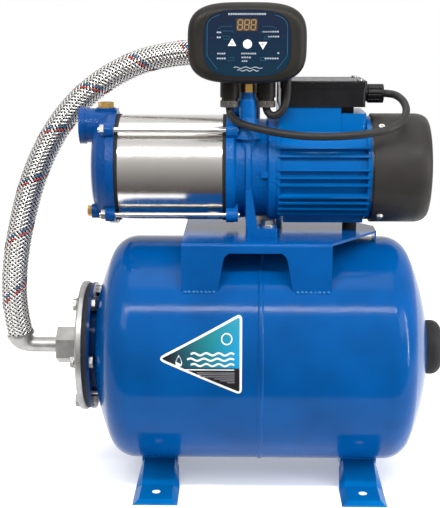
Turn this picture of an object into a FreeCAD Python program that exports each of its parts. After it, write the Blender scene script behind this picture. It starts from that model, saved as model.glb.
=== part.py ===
import FreeCAD, Part
import math
import os

# A horizontal multistage water pump on its pressure tank, with controller, hose and cables.
# Millimetres. The origin is the centre of the four foot holes, on the floor.
# +X runs from the hose end to the fan cover, +Y to the back and +Z up.

X_AXIS = (1, 0, 0)
Y_AXIS = (0, 1, 0)
Z_AXIS = (0, 0, 1)

# Tank
TANK_R = 137.0
TANK_WALL = 1.5
TANK_Z = 157.0
TANK_STRAIGHT = 149.5
TANK_REACH = 204.5
KNUCKLE_R = 33.0
DOME_DEPTH = TANK_REACH - TANK_STRAIGHT
CROWN_R = (DOME_DEPTH ** 2 + (TANK_R - KNUCKLE_R) ** 2 - KNUCKLE_R ** 2) / (2 * (DOME_DEPTH - KNUCKLE_R))
CROWN_X = TANK_REACH - CROWN_R
MOUTH_R = 50.0
VALVE_HOLE_R = 7.0

# Tank mouth: flange, bladder lip and neck ring
FLANGE_X = -219.5
FLANGE_T = 8.6
FLANGE_R = 79.75
LIP_T = 4.9
NECK_PLATE_T = 3.5
FLANGE_BOLT_CIRCLE = 70.0
FLANGE_BOLTS = 6
STUB_R = 16.5
STUB_BORE = 12.5
STUB_X = -236.0

# Feet and bridge
FOOT_X = 122.5
FOOT_WIDTH = 53.0
FOOT_WEB = 38.0
FOOT_REACH = 126.5
FOOT_HOLE_Y = 100.0
FOOT_HOLE_R = 4.8
FOOT_SHEET = 3.0
FOOT_SEAT_R = 9.0
BRIDGE_X0 = -91.0
BRIDGE_X1 = 81.0
BRIDGE_HALF = 100.0
BRIDGE_Z = 306.4
BRIDGE_SHEET = 3.0
TONGUE_X = 137.0
TONGUE_HALF = 18.0

# Pump
AXIS_Z = 380.4
SLEEVE_X0 = -166.7
SLEEVE_X1 = -45.0
SLEEVE_R = 62.8
SLEEVE_WALL = 1.2
GASKET_T = 4.2
ROD_CIRCLE = 70.2
ROD_R = 3.25
CASING_X0 = -199.0
PORT_X = -216.0
PORT_Z = AXIS_Z + 50.0
PORT_R = 20.4
PORT_BORE = 15.15
PORT_DEPTH = 18.0
PRIMING_X = -185.0
DRAIN_Y = -28.0
DRAIN_Z = AXIS_Z - 49.0
STAGES = 4
STAGE_PITCH = 27.0
STAGE_X0 = -153.0
IMPELLER_R = 47.0

# Bracket, motor and fan
BRACKET_X0 = SLEEVE_X1 + GASKET_T
BRACKET_X1 = 17.0
PAD_Y = 65.0
PAD_Z = 11.0
FOOT_BOLT_X = 7.5
FOOT_BOLT_Y = 46.0
NECK_X = -15.8
NECK_Y = -45.0
NECK_TOP = 473.5
NECK_R = 9.7
OUTLET_TOP = 459.0
SHAFT_R = 7.0
BEARING_SEAT_R = 8.5
HOUSING_X1 = 128.0
HOUSING_R = 58.5
FIN_R = 65.0
FIN_T = 2.2
FIN_FIRST = -46.0
FIN_STEPS = (18, 9, 14, 8, 8, 14, 8, 9, 9)
COVER_X0 = 130.5
COVER_X1 = 198.0
COVER_R = 64.9
COVER_WALL = 2.2
COVER_ROUND_X = 16.0
COVER_ROUND_R = 9.5
SCREW_TURNS = (37.0, -37.0, 143.0, 217.0)
FAN_R = 50.0

# Terminal box
BOX_X0 = 22.0
BOX_X1 = 120.0
BOX_Y0 = -42.0
BOX_Y1 = 44.0
BOX_Z0 = 456.0
LID_Z = 477.5
BOX_TOP = 486.0
BOX_WALL = 2.5
GLAND_Z = 469.0
GLAND_X0 = 125.5
GLAND_X1 = 144.5
GLAND_R = 11.2

# Controller
CTRL_X = -17.0
CTRL_Z = 529.9
CTRL_HALF_W = 66.3
CTRL_HALF_H = 44.5
CTRL_FRONT = -88.0
CTRL_SPLIT = -62.0
CTRL_RIM = -54.0
CTRL_BACK = -14.0
CTRL_POWER = 3.4
BACK_HALF_W = 36.0
BACK_Z0 = 490.0
BACK_Z1 = 567.0
PANEL_HALF_W = 48.6
PANEL_HALF_H = 36.4
PANEL_FLOOR = CTRL_FRONT + 1.6
PANEL_T = 1.2
BUTTON_X = -16.7
BUTTON_Z = 529.1
BUTTON_PITCH = 17.0
BUTTON_R = 4.9
BUTTON_GAP = 0.25
GLAND_OFFSET = 21.0
SOCKET_R = 11.0
SOCKET_Z = 467.5
NUT_Z0 = 456.4
NUT_Z1 = 464.0

# Cables and hose
CABLE_R = 4.5
HOSE_R = 16.2
FERRULE_R = 17.2
ELBOW_R = 9.2
UNION_AF = 40.0

# Route of the motor cable, from the terminal box to the left controller gland.
MOTOR_CABLE = [
    (144.5, 0.0, 469.0), (152.0, -1.0, 469.0), (160.5, -9.0, 467.0), (166.5, -24.0, 461.0),
    (167.5, -42.0, 452.5), (162.0, -58.0, 443.0), (150.0, -71.0, 435.5), (129.0, -80.0, 430.5),
    (98.0, -85.0, 427.5), (62.0, -86.0, 426.5), (30.0, -84.0, 428.5), (2.0, -76.0, 433.0),
    (-17.0, -67.5, 437.0), (-29.0, -57.5, 441.0), (-35.5, -49.0, 446.5), (-36.8, -45.3, 453.0),
    (-36.8, -45.0, 456.4),
]
# Route of the mains cable, from the right controller gland to the start of its coil.
MAINS_CABLE = [
    (5.2, -45.0, 456.4), (6.0, -45.3, 451.5), (12.0, -48.0, 446.0), (21.0, -50.0, 449.0),
    (27.5, -50.0, 459.0), (29.5, -49.5, 474.0), (29.5, -47.5, 492.0), (29.5, -42.0, 512.0),
    (29.0, -28.0, 534.0), (27.5, -2.0, 548.0), (26.0, 30.0, 545.0), (25.0, 60.0, 524.0),
    (25.0, 84.0, 486.0), (25.5, 103.0, 438.0), (26.0, 122.0, 386.0), (26.5, 140.0, 332.0),
    (27.0, 154.0, 276.0), (28.0, 163.0, 220.0), (29.0, 167.0, 166.0), (31.0, 169.0, 116.0),
    (34.0, 172.0, 76.0), (38.5, 178.0, 44.0), (46.0, 191.0, 17.0), (53.0, 211.0, 5.0),
    (53.0, 232.0, 4.5),
]
# Route of the hose, from the pump's outlet elbow to the tank's elbow.
HOSE = [
    (-41.0, 40.5, 514.0), (-66.0, 56.0, 515.5), (-104.0, 74.0, 513.0), (-152.0, 82.0, 503.0),
    (-204.0, 77.0, 476.0), (-247.0, 63.0, 434.0), (-278.0, 43.0, 376.0), (-295.0, 22.0, 312.0),
    (-303.5, 6.0, 254.0), (-304.0, 0.0, 204.0), (-297.5, 0.0, 172.0),
]

# Coil of mains cable on the floor behind the tank.
COIL_X = 0.0
COIL_Y = 232.0
COIL_MID_R = 53.0
COIL_TURNS = 1.25
COIL_PITCH = 11.2
LEAD_END_X = -32.0
RELIEF_LENGTH = 22.0
PLUG_LENGTH = 30.0
PIN_LENGTH = 19.0
PLUG_Y = COIL_Y + COIL_MID_R
PLUG_Z = CABLE_R + COIL_TURNS * COIL_PITCH


def vec(point):
    return FreeCAD.Vector(*point)


def cylinder(base, axis, radius, length):
    return Part.makeCylinder(radius, length, vec(base), vec(axis))


def tube(base, axis, outer, inner, length):
    return cylinder(base, axis, outer, length).cut(cylinder(base, axis, inner, length))


def block(x0, x1, y0, y1, z0, z1):
    return Part.makeBox(x1 - x0, y1 - y0, z1 - z0, FreeCAD.Vector(x0, y0, z0))


def joined(shapes):
    whole = shapes[0]
    for shape in shapes[1:]:
        whole = whole.fuse(shape)
    return whole.removeSplitter()


def minus(shape, tools):
    for tool in tools:
        shape = shape.cut(tool)
    return shape


def prism(points, direction):
    """A closed polygon of 3-D points, pushed along a direction."""
    loop = [vec(point) for point in points]
    face = Part.Face(Part.makePolygon(loop + loop[:1]))
    return face.extrude(vec(direction))


def turned(points, axis_z):
    """A closed outline of (x, radius) points, turned about an axis along X."""
    loop = [FreeCAD.Vector(x, 0, axis_z + radius) for x, radius in points]
    face = Part.Face(Part.makePolygon(loop + loop[:1]))
    return face.revolve(FreeCAD.Vector(0, 0, axis_z), FreeCAD.Vector(1, 0, 0), 360)


def hexagon(base, axis, across_flats, length, turn=0.0):
    radius = across_flats / math.sqrt(3)
    corners = []
    for index in range(6):
        angle = math.radians(60 * index + turn)
        corners.append((radius * math.cos(angle), radius * math.sin(angle), 0))
    shape = prism(corners, (0, 0, length))
    shape.Placement = FreeCAD.Placement(vec(base), FreeCAD.Rotation(FreeCAD.Vector(0, 0, 1), vec(axis)))
    return shape


def along_axis(shape, direction):
    """The edges of a shape that run along one axis."""
    chosen = []
    for edge in shape.Edges:
        if len(edge.Vertexes) == 2:
            run = edge.Vertexes[1].Point.sub(edge.Vertexes[0].Point)
            if run.Length > 0 and abs(run.normalize().dot(vec(direction))) > 0.999:
                chosen.append(edge)
    return chosen


def soft_block(limits, direction, radius):
    shape = block(*limits)
    return shape.makeFillet(radius, along_axis(shape, direction))


def around(shape, axis_z, angle):
    """A copy of a shape, turned about an axis along X."""
    copy = shape.copy()
    copy.rotate(FreeCAD.Vector(0, 0, axis_z), FreeCAD.Vector(1, 0, 0), angle)
    return copy


def export(name, *shapes):
    shape = shapes[0] if len(shapes) == 1 else Part.makeCompound(list(shapes))
    if not shape.isValid():
        print("not valid:", name)
    shape.exportStep("parts/%s.step" % name)


# ---------------------------------------------------------------- tank

def dome_line(offset, opening):
    """Edges of one half of the tank in the XZ plane, from the girth seam to an opening."""
    wall_r = TANK_R - offset
    knuckle = KNUCKLE_R - offset
    crown = CROWN_R - offset
    blend = math.atan2(TANK_R - KNUCKLE_R, TANK_STRAIGHT - CROWN_X)
    last = math.asin(opening / crown)

    def at(centre_x, centre_r, radius, angle):
        return FreeCAD.Vector(centre_x + radius * math.cos(angle), 0,
                              TANK_Z + centre_r + radius * math.sin(angle))

    start = FreeCAD.Vector(0, 0, TANK_Z + wall_r)
    bend = FreeCAD.Vector(TANK_STRAIGHT, 0, TANK_Z + wall_r)
    knuckle_mid = at(TANK_STRAIGHT, TANK_R - KNUCKLE_R, knuckle, (math.pi / 2 + blend) / 2)
    meet = at(CROWN_X, 0, crown, blend)
    crown_mid = at(CROWN_X, 0, crown, (blend + last) / 2)
    end = at(CROWN_X, 0, crown, last)
    edges = [Part.LineSegment(start, bend).toShape(), Part.Arc(bend, knuckle_mid, meet).toShape(),
             Part.Arc(meet, crown_mid, end).toShape()]
    return edges, start, end


def tank_half(side, opening):
    outer, outer_start, outer_end = dome_line(0.0, opening)
    inner, inner_start, inner_end = dome_line(TANK_WALL, opening)
    caps = [Part.LineSegment(outer_end, inner_end).toShape(),
            Part.LineSegment(inner_start, outer_start).toShape()]
    wire = Part.Wire(Part.__sortEdges__(outer + inner + caps))
    shell = Part.Face(wire).revolve(FreeCAD.Vector(0, 0, TANK_Z), FreeCAD.Vector(1, 0, 0), 360)
    if side < 0:
        shell = shell.mirror(FreeCAD.Vector(0, 0, 0), FreeCAD.Vector(1, 0, 0))
    return shell


def tank_envelope():
    """The tank's outer form as one filled solid, for cutting what sits on it."""
    small = 0.5
    edges, start, end = dome_line(0.0, small)
    axis_end = FreeCAD.Vector(end.x, 0, TANK_Z)
    axis_start = FreeCAD.Vector(0, 0, TANK_Z)
    edges += [Part.LineSegment(end, axis_end).toShape(), Part.LineSegment(axis_end, axis_start).toShape(),
              Part.LineSegment(axis_start, start).toShape()]
    wire = Part.Wire(Part.__sortEdges__(edges))
    half = Part.Face(wire).revolve(FreeCAD.Vector(0, 0, TANK_Z), FreeCAD.Vector(1, 0, 0), 360)
    return half.fuse(half.mirror(FreeCAD.Vector(0, 0, 0), FreeCAD.Vector(1, 0, 0)))


def weld_seam():
    half_width = 3.2
    height = 1.4
    left = FreeCAD.Vector(-half_width, 0, TANK_Z + TANK_R)
    top = FreeCAD.Vector(0, 0, TANK_Z + TANK_R + height)
    right = FreeCAD.Vector(half_width, 0, TANK_Z + TANK_R)
    wire = Part.Wire([Part.Arc(left, top, right).toShape(), Part.LineSegment(right, left).toShape()])
    return Part.Face(wire).revolve(FreeCAD.Vector(0, 0, TANK_Z), FreeCAD.Vector(1, 0, 0), 360)


def bolt_ring(base_x, radius, length):
    holes = []
    for index in range(FLANGE_BOLTS):
        angle = math.radians(360 / FLANGE_BOLTS * index)
        base = (base_x, FLANGE_BOLT_CIRCLE * math.cos(angle), TANK_Z + FLANGE_BOLT_CIRCLE * math.sin(angle))
        holes.append(cylinder(base, X_AXIS, radius, length))
    return holes


def tank_flange():
    disc = cylinder((FLANGE_X, 0, TANK_Z), X_AXIS, FLANGE_R, FLANGE_T)
    rim_edges = [edge for edge in disc.Edges if edge.BoundBox.XLength < 0.1]
    disc = disc.makeFillet(2.4, rim_edges)
    hub = cylinder((FLANGE_X - 3.5, 0, TANK_Z), X_AXIS, 24.0, 3.5)
    stub = cylinder((STUB_X, 0, TANK_Z), X_AXIS, STUB_R, FLANGE_X - STUB_X)
    bore = cylinder((STUB_X - 1, 0, TANK_Z), X_AXIS, STUB_BORE, 40)
    return minus(joined([disc, hub, stub]), [bore] + bolt_ring(FLANGE_X - 1, 4.5, 20))


def bladder():
    lip_x0 = FLANGE_X + FLANGE_T
    lip_x1 = lip_x0 + LIP_T
    outer = [(lip_x0, 77.5), (lip_x1, 77.5), (lip_x1, 47.0), (-190.0, 46.0), (-172.0, 64.0),
             (-140.0, 92.0), (-105.0, 104.0), (70.0, 104.0), (112.0, 82.0), (134.0, 40.0), (138.0, 0.0)]
    inner = [(135.0, 0.0), (131.0, 39.0), (110.0, 79.5), (69.0, 101.0), (-104.0, 101.0),
             (-139.0, 89.0), (-170.0, 61.0), (-188.0, 43.0), (-195.0, 15.0), (lip_x0, 15.0)]
    return minus(turned(outer + inner, TANK_Z), bolt_ring(lip_x0 - 1, 4.5, 8))


def neck_ring(envelope):
    plate_x0 = FLANGE_X + FLANGE_T + LIP_T
    plate = tube((plate_x0, 0, TANK_Z), X_AXIS, 78.5, MOUTH_R, NECK_PLATE_T)
    collar = tube((plate_x0, 0, TANK_Z), X_AXIS, 60.0, 54.0, 12.0)
    return minus(joined([plate, collar]), [envelope] + bolt_ring(plate_x0 - 1, 4.5, 8))


def flange_bolts():
    bolts = []
    shank_end = FLANGE_X + FLANGE_T + LIP_T + NECK_PLATE_T
    for index in range(FLANGE_BOLTS):
        angle = math.radians(360 / FLANGE_BOLTS * index)
        y = FLANGE_BOLT_CIRCLE * math.cos(angle)
        z = TANK_Z + FLANGE_BOLT_CIRCLE * math.sin(angle)
        head = hexagon((FLANGE_X - 5.5, y, z), X_AXIS, 13.0, 5.5, 30 + 60 * index)
        washer = cylinder((FLANGE_X - 1.4, y, z), X_AXIS, 8.2, 1.4)
        shank = cylinder((FLANGE_X - 1, y, z), X_AXIS, 4.0, shank_end + 5.0 - FLANGE_X)
        nut = hexagon((shank_end, y, z), X_AXIS, 13.0, 4.2, 30 + 60 * index)
        bolts.append(joined([head, washer, shank, nut]))
    return bolts


def air_valve_body():
    stem = cylinder((197.0, 0, TANK_Z), X_AXIS, VALVE_HOLE_R - 0.05, 17.0)
    flange = hexagon((TANK_REACH, 0, TANK_Z), X_AXIS, 19.0, 4.0)
    bore = cylinder((196.0, 0, TANK_Z), X_AXIS, 1.68, 20.0)
    return joined([stem, flange]).cut(bore)


def air_valve_cap():
    reach = 223.4
    rounded = []
    for radius, end, round_r in ((33.5, reach, 12.0), (30.5, reach - 3.0, 10.0)):
        form = cylinder((203.2, 0, TANK_Z), X_AXIS, radius, end - 203.2)
        edges = [edge for edge in form.Edges if edge.BoundBox.XLength < 0.1 and edge.BoundBox.XMin > 219]
        rounded.append(form.makeFillet(round_r, edges))
    shell, hollow = rounded
    sleeve = tube((209.0, 0, TANK_Z), X_AXIS, 10.5, 7.2, reach - 3.0 - 209.0)
    return joined([shell.cut(hollow), sleeve])


def foot_section(y, top, bottom, half_top, half_bottom):
    points = [(-half_bottom, y, bottom), (-half_top, y, top), (half_top, y, top), (half_bottom, y, bottom)]
    return Part.makePolygon([vec(point) for point in points + points[:1]])


def foot_arm(drop, narrower):
    """One end of a foot as a filled form; the inner form is lower and narrower."""
    half_web = FOOT_WEB / 2 - narrower
    half_base = FOOT_WIDTH / 2 - narrower
    sections = [
        foot_section(-FOOT_REACH + narrower, 2.0, -drop, half_web + 5, half_base),
        foot_section(-FOOT_REACH + 6 + narrower, 5.5 - drop, -drop, half_web, half_base),
        foot_section(-80.0, 5.5 - drop, -drop, half_web, half_base),
        foot_section(-36.0, 24.5 - drop, 12.0 - drop, half_web, half_base - 3),
    ]
    return Part.makeLoft(sections, True, True)


def tank_foot(side, envelope):
    arm = foot_arm(0.0, 0.0).cut(foot_arm(FOOT_SHEET, 2.5))
    back = arm.mirror(FreeCAD.Vector(0, 0, 0), FreeCAD.Vector(0, 1, 0))
    saddle = cylinder((-22.0, 0, TANK_Z), X_AXIS, TANK_R + FOOT_SHEET, 44.0)
    saddle = saddle.cut(cylinder((-23.0, 0, TANK_Z), X_AXIS, TANK_R, 46.0))
    saddle = saddle.common(block(-22, 22, -38, 38, 0, 60))
    ribs = []
    for x in (-22.0, 19.0):
        rib = cylinder((x, 0, TANK_Z), X_AXIS, TANK_R + 11.0, 3.0)
        rib = rib.cut(cylinder((x - 1, 0, TANK_Z), X_AXIS, TANK_R, 5.0))
        ribs.append(rib.common(block(x, x + 3, -36, 36, 0, 60)))
    hole_rows = (-FOOT_HOLE_Y, FOOT_HOLE_Y)
    holes = [cylinder((0, y, -5), Z_AXIS, FOOT_HOLE_R, 30) for y in hole_rows]
    seats = [cylinder((0, y, 0), Z_AXIS, FOOT_SEAT_R, 4.0) for y in hole_rows]
    foot = joined([arm, back, saddle] + ribs + seats)
    foot.translate(FreeCAD.Vector(side * FOOT_X, 0, 0))
    for hole in holes:
        hole.translate(FreeCAD.Vector(side * FOOT_X, 0, 0))
    return minus(foot, holes + [envelope])


def arch_outline(y, depth):
    """The arch cut in a bridge skirt: wider at the bottom, with rounded upper corners."""
    lower, upper = BRIDGE_Z - 70.0, BRIDGE_Z - 11.0
    points = [(-52.0, y, lower), (-43.5, y, upper - 10.0), (-41.5, y, upper - 4.0), (-36.5, y, upper),
              (23.5, y, upper), (28.5, y, upper - 4.0), (30.5, y, upper - 10.0), (39.0, y, lower)]
    return prism(points, (0, depth, 0))


def pump_bridge(envelope):
    outer = block(BRIDGE_X0, BRIDGE_X1, -BRIDGE_HALF, BRIDGE_HALF, 180, BRIDGE_Z)
    top_edges = [edge for edge in along_axis(outer, X_AXIS) if edge.BoundBox.ZMin > 300]
    outer = outer.makeFillet(4.0, top_edges)
    inner_half = BRIDGE_HALF - BRIDGE_SHEET
    inner = block(BRIDGE_X0 - 1, BRIDGE_X1 + 1, -inner_half, inner_half, 179, BRIDGE_Z - BRIDGE_SHEET)
    low = BRIDGE_Z - BRIDGE_SHEET
    tongue = prism([(BRIDGE_X1 - 1, -BRIDGE_HALF + 4, low), (BRIDGE_X1, -BRIDGE_HALF + 4, low),
                    (TONGUE_X, -TONGUE_HALF, low), (TONGUE_X, TONGUE_HALF, low),
                    (BRIDGE_X1, BRIDGE_HALF - 4, low), (BRIDGE_X1 - 1, BRIDGE_HALF - 4, low)],
                   (0, 0, BRIDGE_SHEET))
    lip = block(TONGUE_X, TONGUE_X + 2.0, -TONGUE_HALF, TONGUE_HALF, BRIDGE_Z - 12.0, BRIDGE_Z)
    shell = joined([outer.cut(inner), tongue, lip])
    holes = [cylinder((FOOT_BOLT_X, y, BRIDGE_Z - 10), Z_AXIS, 4.5, 20) for y in (-FOOT_BOLT_Y, FOOT_BOLT_Y)]
    holes.append(cylinder((108.0, 0, BRIDGE_Z - 10), Z_AXIS, 4.2, 20))
    arches = [arch_outline(-BRIDGE_HALF - 1, 5.0), arch_outline(BRIDGE_HALF - 4, 5.0)]
    cellar = cylinder((BRIDGE_X0 - 2, 0, TANK_Z), X_AXIS, TANK_R, BRIDGE_X1 - BRIDGE_X0 + 4)
    below = block(BRIDGE_X0 - 2, BRIDGE_X1 + 2, -BRIDGE_HALF - 2, BRIDGE_HALF + 2, 100, 240)
    return minus(shell, arches + holes + [cellar, below])


def tank_sticker():
    """A thin triangular label that follows the tank's front."""
    gap = 0.1
    sheet = 0.3
    skin = cylinder((-140, 0, TANK_Z), X_AXIS, TANK_R + gap + sheet, 140)
    skin = skin.cut(cylinder((-141, 0, TANK_Z), X_AXIS, TANK_R + gap, 142))
    front_y = -150.0
    cutter = prism([(-119.5, front_y, 181.0), (-21.0, front_y, 138.5), (-21.0, front_y, 231.0)],
                   (0, 100, 0))
    cutter = cutter.makeFillet(4.0, along_axis(cutter, Y_AXIS))
    return skin.common(cutter)


# ---------------------------------------------------------------- pump

def lugs(x0, x1, radius, hole_r):
    """Four ears for the tie rods, each with its web towards the axis, and their holes."""
    ears = []
    holes = []
    for index in range(4):
        ear = cylinder((x0, 0, AXIS_Z + ROD_CIRCLE), X_AXIS, radius, x1 - x0)
        web = block(x0, x1, -radius, radius, AXIS_Z + 52, AXIS_Z + ROD_CIRCLE)
        ears.append(around(joined([ear, web]), AXIS_Z, 45 + 90 * index))
        hole = cylinder((x0 - 1, 0, AXIS_Z + ROD_CIRCLE), X_AXIS, hole_r, x1 - x0 + 4)
        holes.append(around(hole, AXIS_Z, 45 + 90 * index))
    return ears, holes


def suction_casing():
    end = SLEEVE_X0 - GASKET_T
    outline = [(CASING_X0, 0.0), (CASING_X0, 46.0), (CASING_X0 + 2.5, 54.0), (CASING_X0 + 8, 61.0),
               (CASING_X0 + 16, 64.5), (end - 10, 65.5), (end - 9.5, 67.5), (end, 67.5), (end, 0.0)]
    body = turned(outline, AXIS_Z)
    hollow = cylinder((CASING_X0 + 7, 0, AXIS_Z), X_AXIS, 56.0, 40)
    ears, holes = lugs(end - 11, end, 8.0, ROD_R + 0.3)
    port = cylinder((PORT_X, 0, PORT_Z), X_AXIS, PORT_R, end - 4 - PORT_X)
    collar = cylinder((PORT_X, 0, PORT_Z), X_AXIS, PORT_R + 1.5, 7.0)
    plug_boss = cylinder((PRIMING_X, 0, AXIS_Z + 40), Z_AXIS, 11.5, 31.3)
    saddle = block(PRIMING_X - 11.5, end, -11.5, 11.5, AXIS_Z + 45, AXIS_Z + 70)
    drain_boss = cylinder((CASING_X0 - 1.5, DRAIN_Y, DRAIN_Z), X_AXIS, 8.5, 12)
    bore = cylinder((PORT_X - 1, 0, PORT_Z), X_AXIS, PORT_BORE, PORT_DEPTH + 1)
    throat = cylinder((PORT_X, 0, PORT_Z - 4), X_AXIS, 10.5, 30)
    plug_hole = cylinder((PRIMING_X, 0, AXIS_Z + 40), Z_AXIS, 6.65, 40)
    drain_hole = cylinder((CASING_X0 - 3, DRAIN_Y, DRAIN_Z), X_AXIS, 4.7, 14)
    whole = joined([body, port, collar, plug_boss, saddle, drain_boss] + ears)
    return minus(whole, [hollow, bore, throat, plug_hole, drain_hole] + holes)


def priming_plug():
    seat = AXIS_Z + 71.3
    head = hexagon((PRIMING_X, 0, seat), Z_AXIS, 16.5, 6.6)
    stem = cylinder((PRIMING_X, 0, seat - 10), Z_AXIS, 6.6, 10)
    return joined([head, stem])


def drain_plug():
    face = CASING_X0 - 1.5
    head = hexagon((face - 5.0, DRAIN_Y, DRAIN_Z), X_AXIS, 11.5, 5.0)
    stem = cylinder((face, DRAIN_Y, DRAIN_Z), X_AXIS, 4.6, 8)
    return joined([head, stem])


def sleeve_gaskets():
    rings = []
    for x in (SLEEVE_X0 - GASKET_T, SLEEVE_X1):
        rings.append(tube((x, 0, AXIS_Z), X_AXIS, SLEEVE_R + 0.9, 57.0, GASKET_T))
    return rings


def tie_rods():
    rods = []
    front = SLEEVE_X0 - GASKET_T - 11
    back = BRACKET_X0 + 14
    for index in range(4):
        z = AXIS_Z + ROD_CIRCLE
        rod = cylinder((front - 7, 0, z), X_AXIS, ROD_R, back - front + 9)
        nut = hexagon((front - 5, 0, z), X_AXIS, 11.0, 5.0)
        collar = cylinder((SLEEVE_X1 - 17, 0, z), X_AXIS, ROD_R + 1.2, 12)
        rods.append(around(joined([rod, nut, collar]), AXIS_Z, 45 + 90 * index))
    return rods


def stage_x(index):
    return STAGE_X0 + STAGE_PITCH * index


def impeller(x):
    hub = tube((x - 3, 0, AXIS_Z), X_AXIS, 11.5, SHAFT_R, 16)
    back_plate = tube((x + 8, 0, AXIS_Z), X_AXIS, IMPELLER_R, SHAFT_R + 1, 1.6)
    front_plate = tube((x, 0, AXIS_Z), X_AXIS, IMPELLER_R, 19.0, 1.6)
    eye = tube((x - 4, 0, AXIS_Z), X_AXIS, 21.0, 19.0, 5)
    vanes = []
    for index in range(6):
        vane = block(x + 1, x + 8.6, 14.0, 44.0, AXIS_Z - 1, AXIS_Z + 1)
        vane.rotate(FreeCAD.Vector(x, 14.0, AXIS_Z), FreeCAD.Vector(1, 0, 0), 28)
        vanes.append(around(vane, AXIS_Z, 60 * index))
    return joined([hub, back_plate, front_plate, eye] + vanes)


def diffuser(x):
    wall = SLEEVE_R - SLEEVE_WALL - 0.3
    rim = tube((x - 6, 0, AXIS_Z), X_AXIS, wall, wall - 1.6, STAGE_PITCH - 0.2)
    web = tube((x - 6, 0, AXIS_Z), X_AXIS, wall - 0.5, 22.5, 1.6)
    guides = []
    for index in range(8):
        guide = block(x - 5, x - 1.5, 26.0, wall - 1.0, AXIS_Z - 0.8, AXIS_Z + 0.8)
        guides.append(around(guide, AXIS_Z, 45 * index))
    return joined([rim, web] + guides)


def pump_shaft():
    steps = [(-163.0, -148.5, 6.0), (-148.5, -3.0, SHAFT_R), (-3.0, 25.0, BEARING_SEAT_R),
             (25.0, 108.0, 11.0), (108.0, 130.0, BEARING_SEAT_R), (130.0, 160.0, SHAFT_R)]
    return joined([cylinder((x0, 0, AXIS_Z), X_AXIS, radius, x1 - x0) for x0, x1, radius in steps])


def impeller_spacers():
    spacers = []
    for index in range(STAGES):
        start = stage_x(index) + 13
        length = STAGE_PITCH - 16 if index < STAGES - 1 else 4.0
        spacers.append(tube((start, 0, AXIS_Z), X_AXIS, 10.0, SHAFT_R, length))
    return spacers


def impeller_nut():
    x = stage_x(0) - 10
    nut = hexagon((x, 0, AXIS_Z), X_AXIS, 17.0, 7.0)
    return nut.cut(cylinder((x - 1, 0, AXIS_Z), X_AXIS, SHAFT_R, 9))


def seal_seat():
    return tube((-22.0, 0, AXIS_Z), X_AXIS, 16.0, SHAFT_R + 0.5, 6.0)


def seal_head():
    face = tube((-28.0, 0, AXIS_Z), X_AXIS, 13.5, SHAFT_R, 6.0)
    spring_case = tube((-44.0, 0, AXIS_Z), X_AXIS, 12.0, SHAFT_R, 16.0)
    return joined([face, spring_case])


# ---------------------------------------------------------------- motor

def bracket_leg(side):
    """A gusset from the bracket down to its pad, with a sloping edge towards the motor."""
    y = side * 62.0
    depth = -side * 12.0
    top = AXIS_Z - 8
    low = BRIDGE_Z + 5
    return prism([(-17.7, y, low), (-17.7, y, top), (-13.0, y, top), (-4.0, y, low + 7), (-4.0, y, low)],
                 (0, depth, 0))


def motor_bracket(outlet_x, outlet_y):
    end = BRACKET_X1
    outline = [(BRACKET_X0, 0.0), (BRACKET_X0, 66.5), (BRACKET_X0 + 9, 66.5), (BRACKET_X0 + 12, 61.0),
               (-19.0, 60.0), (-17.7, 64.5), (-12.5, 64.5), (-11.0, 59.0), (6.0, 58.0), (9.0, 63.5),
               (end, 63.5), (end, 0.0)]
    body = turned(outline, AXIS_Z)
    ears, holes = lugs(BRACKET_X0, BRACKET_X0 + 14, 8.0, ROD_R + 0.3)
    wet_end = cylinder((BRACKET_X0 - 1, 0, AXIS_Z), X_AXIS, 54.0, 19)
    seal_pocket = cylinder((BRACKET_X0, 0, AXIS_Z), X_AXIS, 16.05, 24.8)
    shaft_hole = cylinder((BRACKET_X0, 0, AXIS_Z), X_AXIS, 9.2, 60)
    bearing_pocket = cylinder((2.0, 0, AXIS_Z), X_AXIS, 20.0, 20)
    motor_side = cylinder((12.0, 0, AXIS_Z), X_AXIS, 50.0, 10)
    pad = soft_block((-17.7, 19.0, -PAD_Y, PAD_Y, BRIDGE_Z, BRIDGE_Z + PAD_Z), Z_AXIS, 3.0)
    web = block(-17.7, -12.0, -58, 58, BRIDGE_Z + 4, AXIS_Z - 30)
    ear_tops = [block(0.0, 10.0, side * 57 - 5, side * 57 + 5, AXIS_Z - 4, AXIS_Z + 4) for side in (-1, 1)]
    taper = 10.0
    neck = cylinder((NECK_X, NECK_Y, AXIS_Z + 25), Z_AXIS, NECK_R, NECK_TOP - taper - AXIS_Z - 25)
    neck_end = Part.makeCone(NECK_R, 7.6, taper, FreeCAD.Vector(NECK_X, NECK_Y, NECK_TOP - taper))
    skirt = Part.makeCone(15.5, NECK_R, 24.0, FreeCAD.Vector(NECK_X, NECK_Y, AXIS_Z + 40))
    outlet = cylinder((outlet_x, outlet_y, AXIS_Z + 30), Z_AXIS, 19.5, OUTLET_TOP - AXIS_Z - 30)
    outlet_bore = cylinder((outlet_x, outlet_y, AXIS_Z + 48), Z_AXIS, 15.15, 60)
    sensor_bore = cylinder((NECK_X, NECK_Y, NECK_TOP - 11), Z_AXIS, 5.8, 20)
    bolt_holes = [cylinder((FOOT_BOLT_X, y, BRIDGE_Z - 2), Z_AXIS, 4.5, 20)
                  for y in (-FOOT_BOLT_Y, FOOT_BOLT_Y)]
    whole = joined([body, pad, web, neck, neck_end, skirt, outlet] + ear_tops + ears
                   + [bracket_leg(side) for side in (-1, 1)])
    return minus(whole, [wet_end, seal_pocket, shaft_hole, bearing_pocket, motor_side, outlet_bore,
                         sensor_bore] + holes + bolt_holes)


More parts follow.
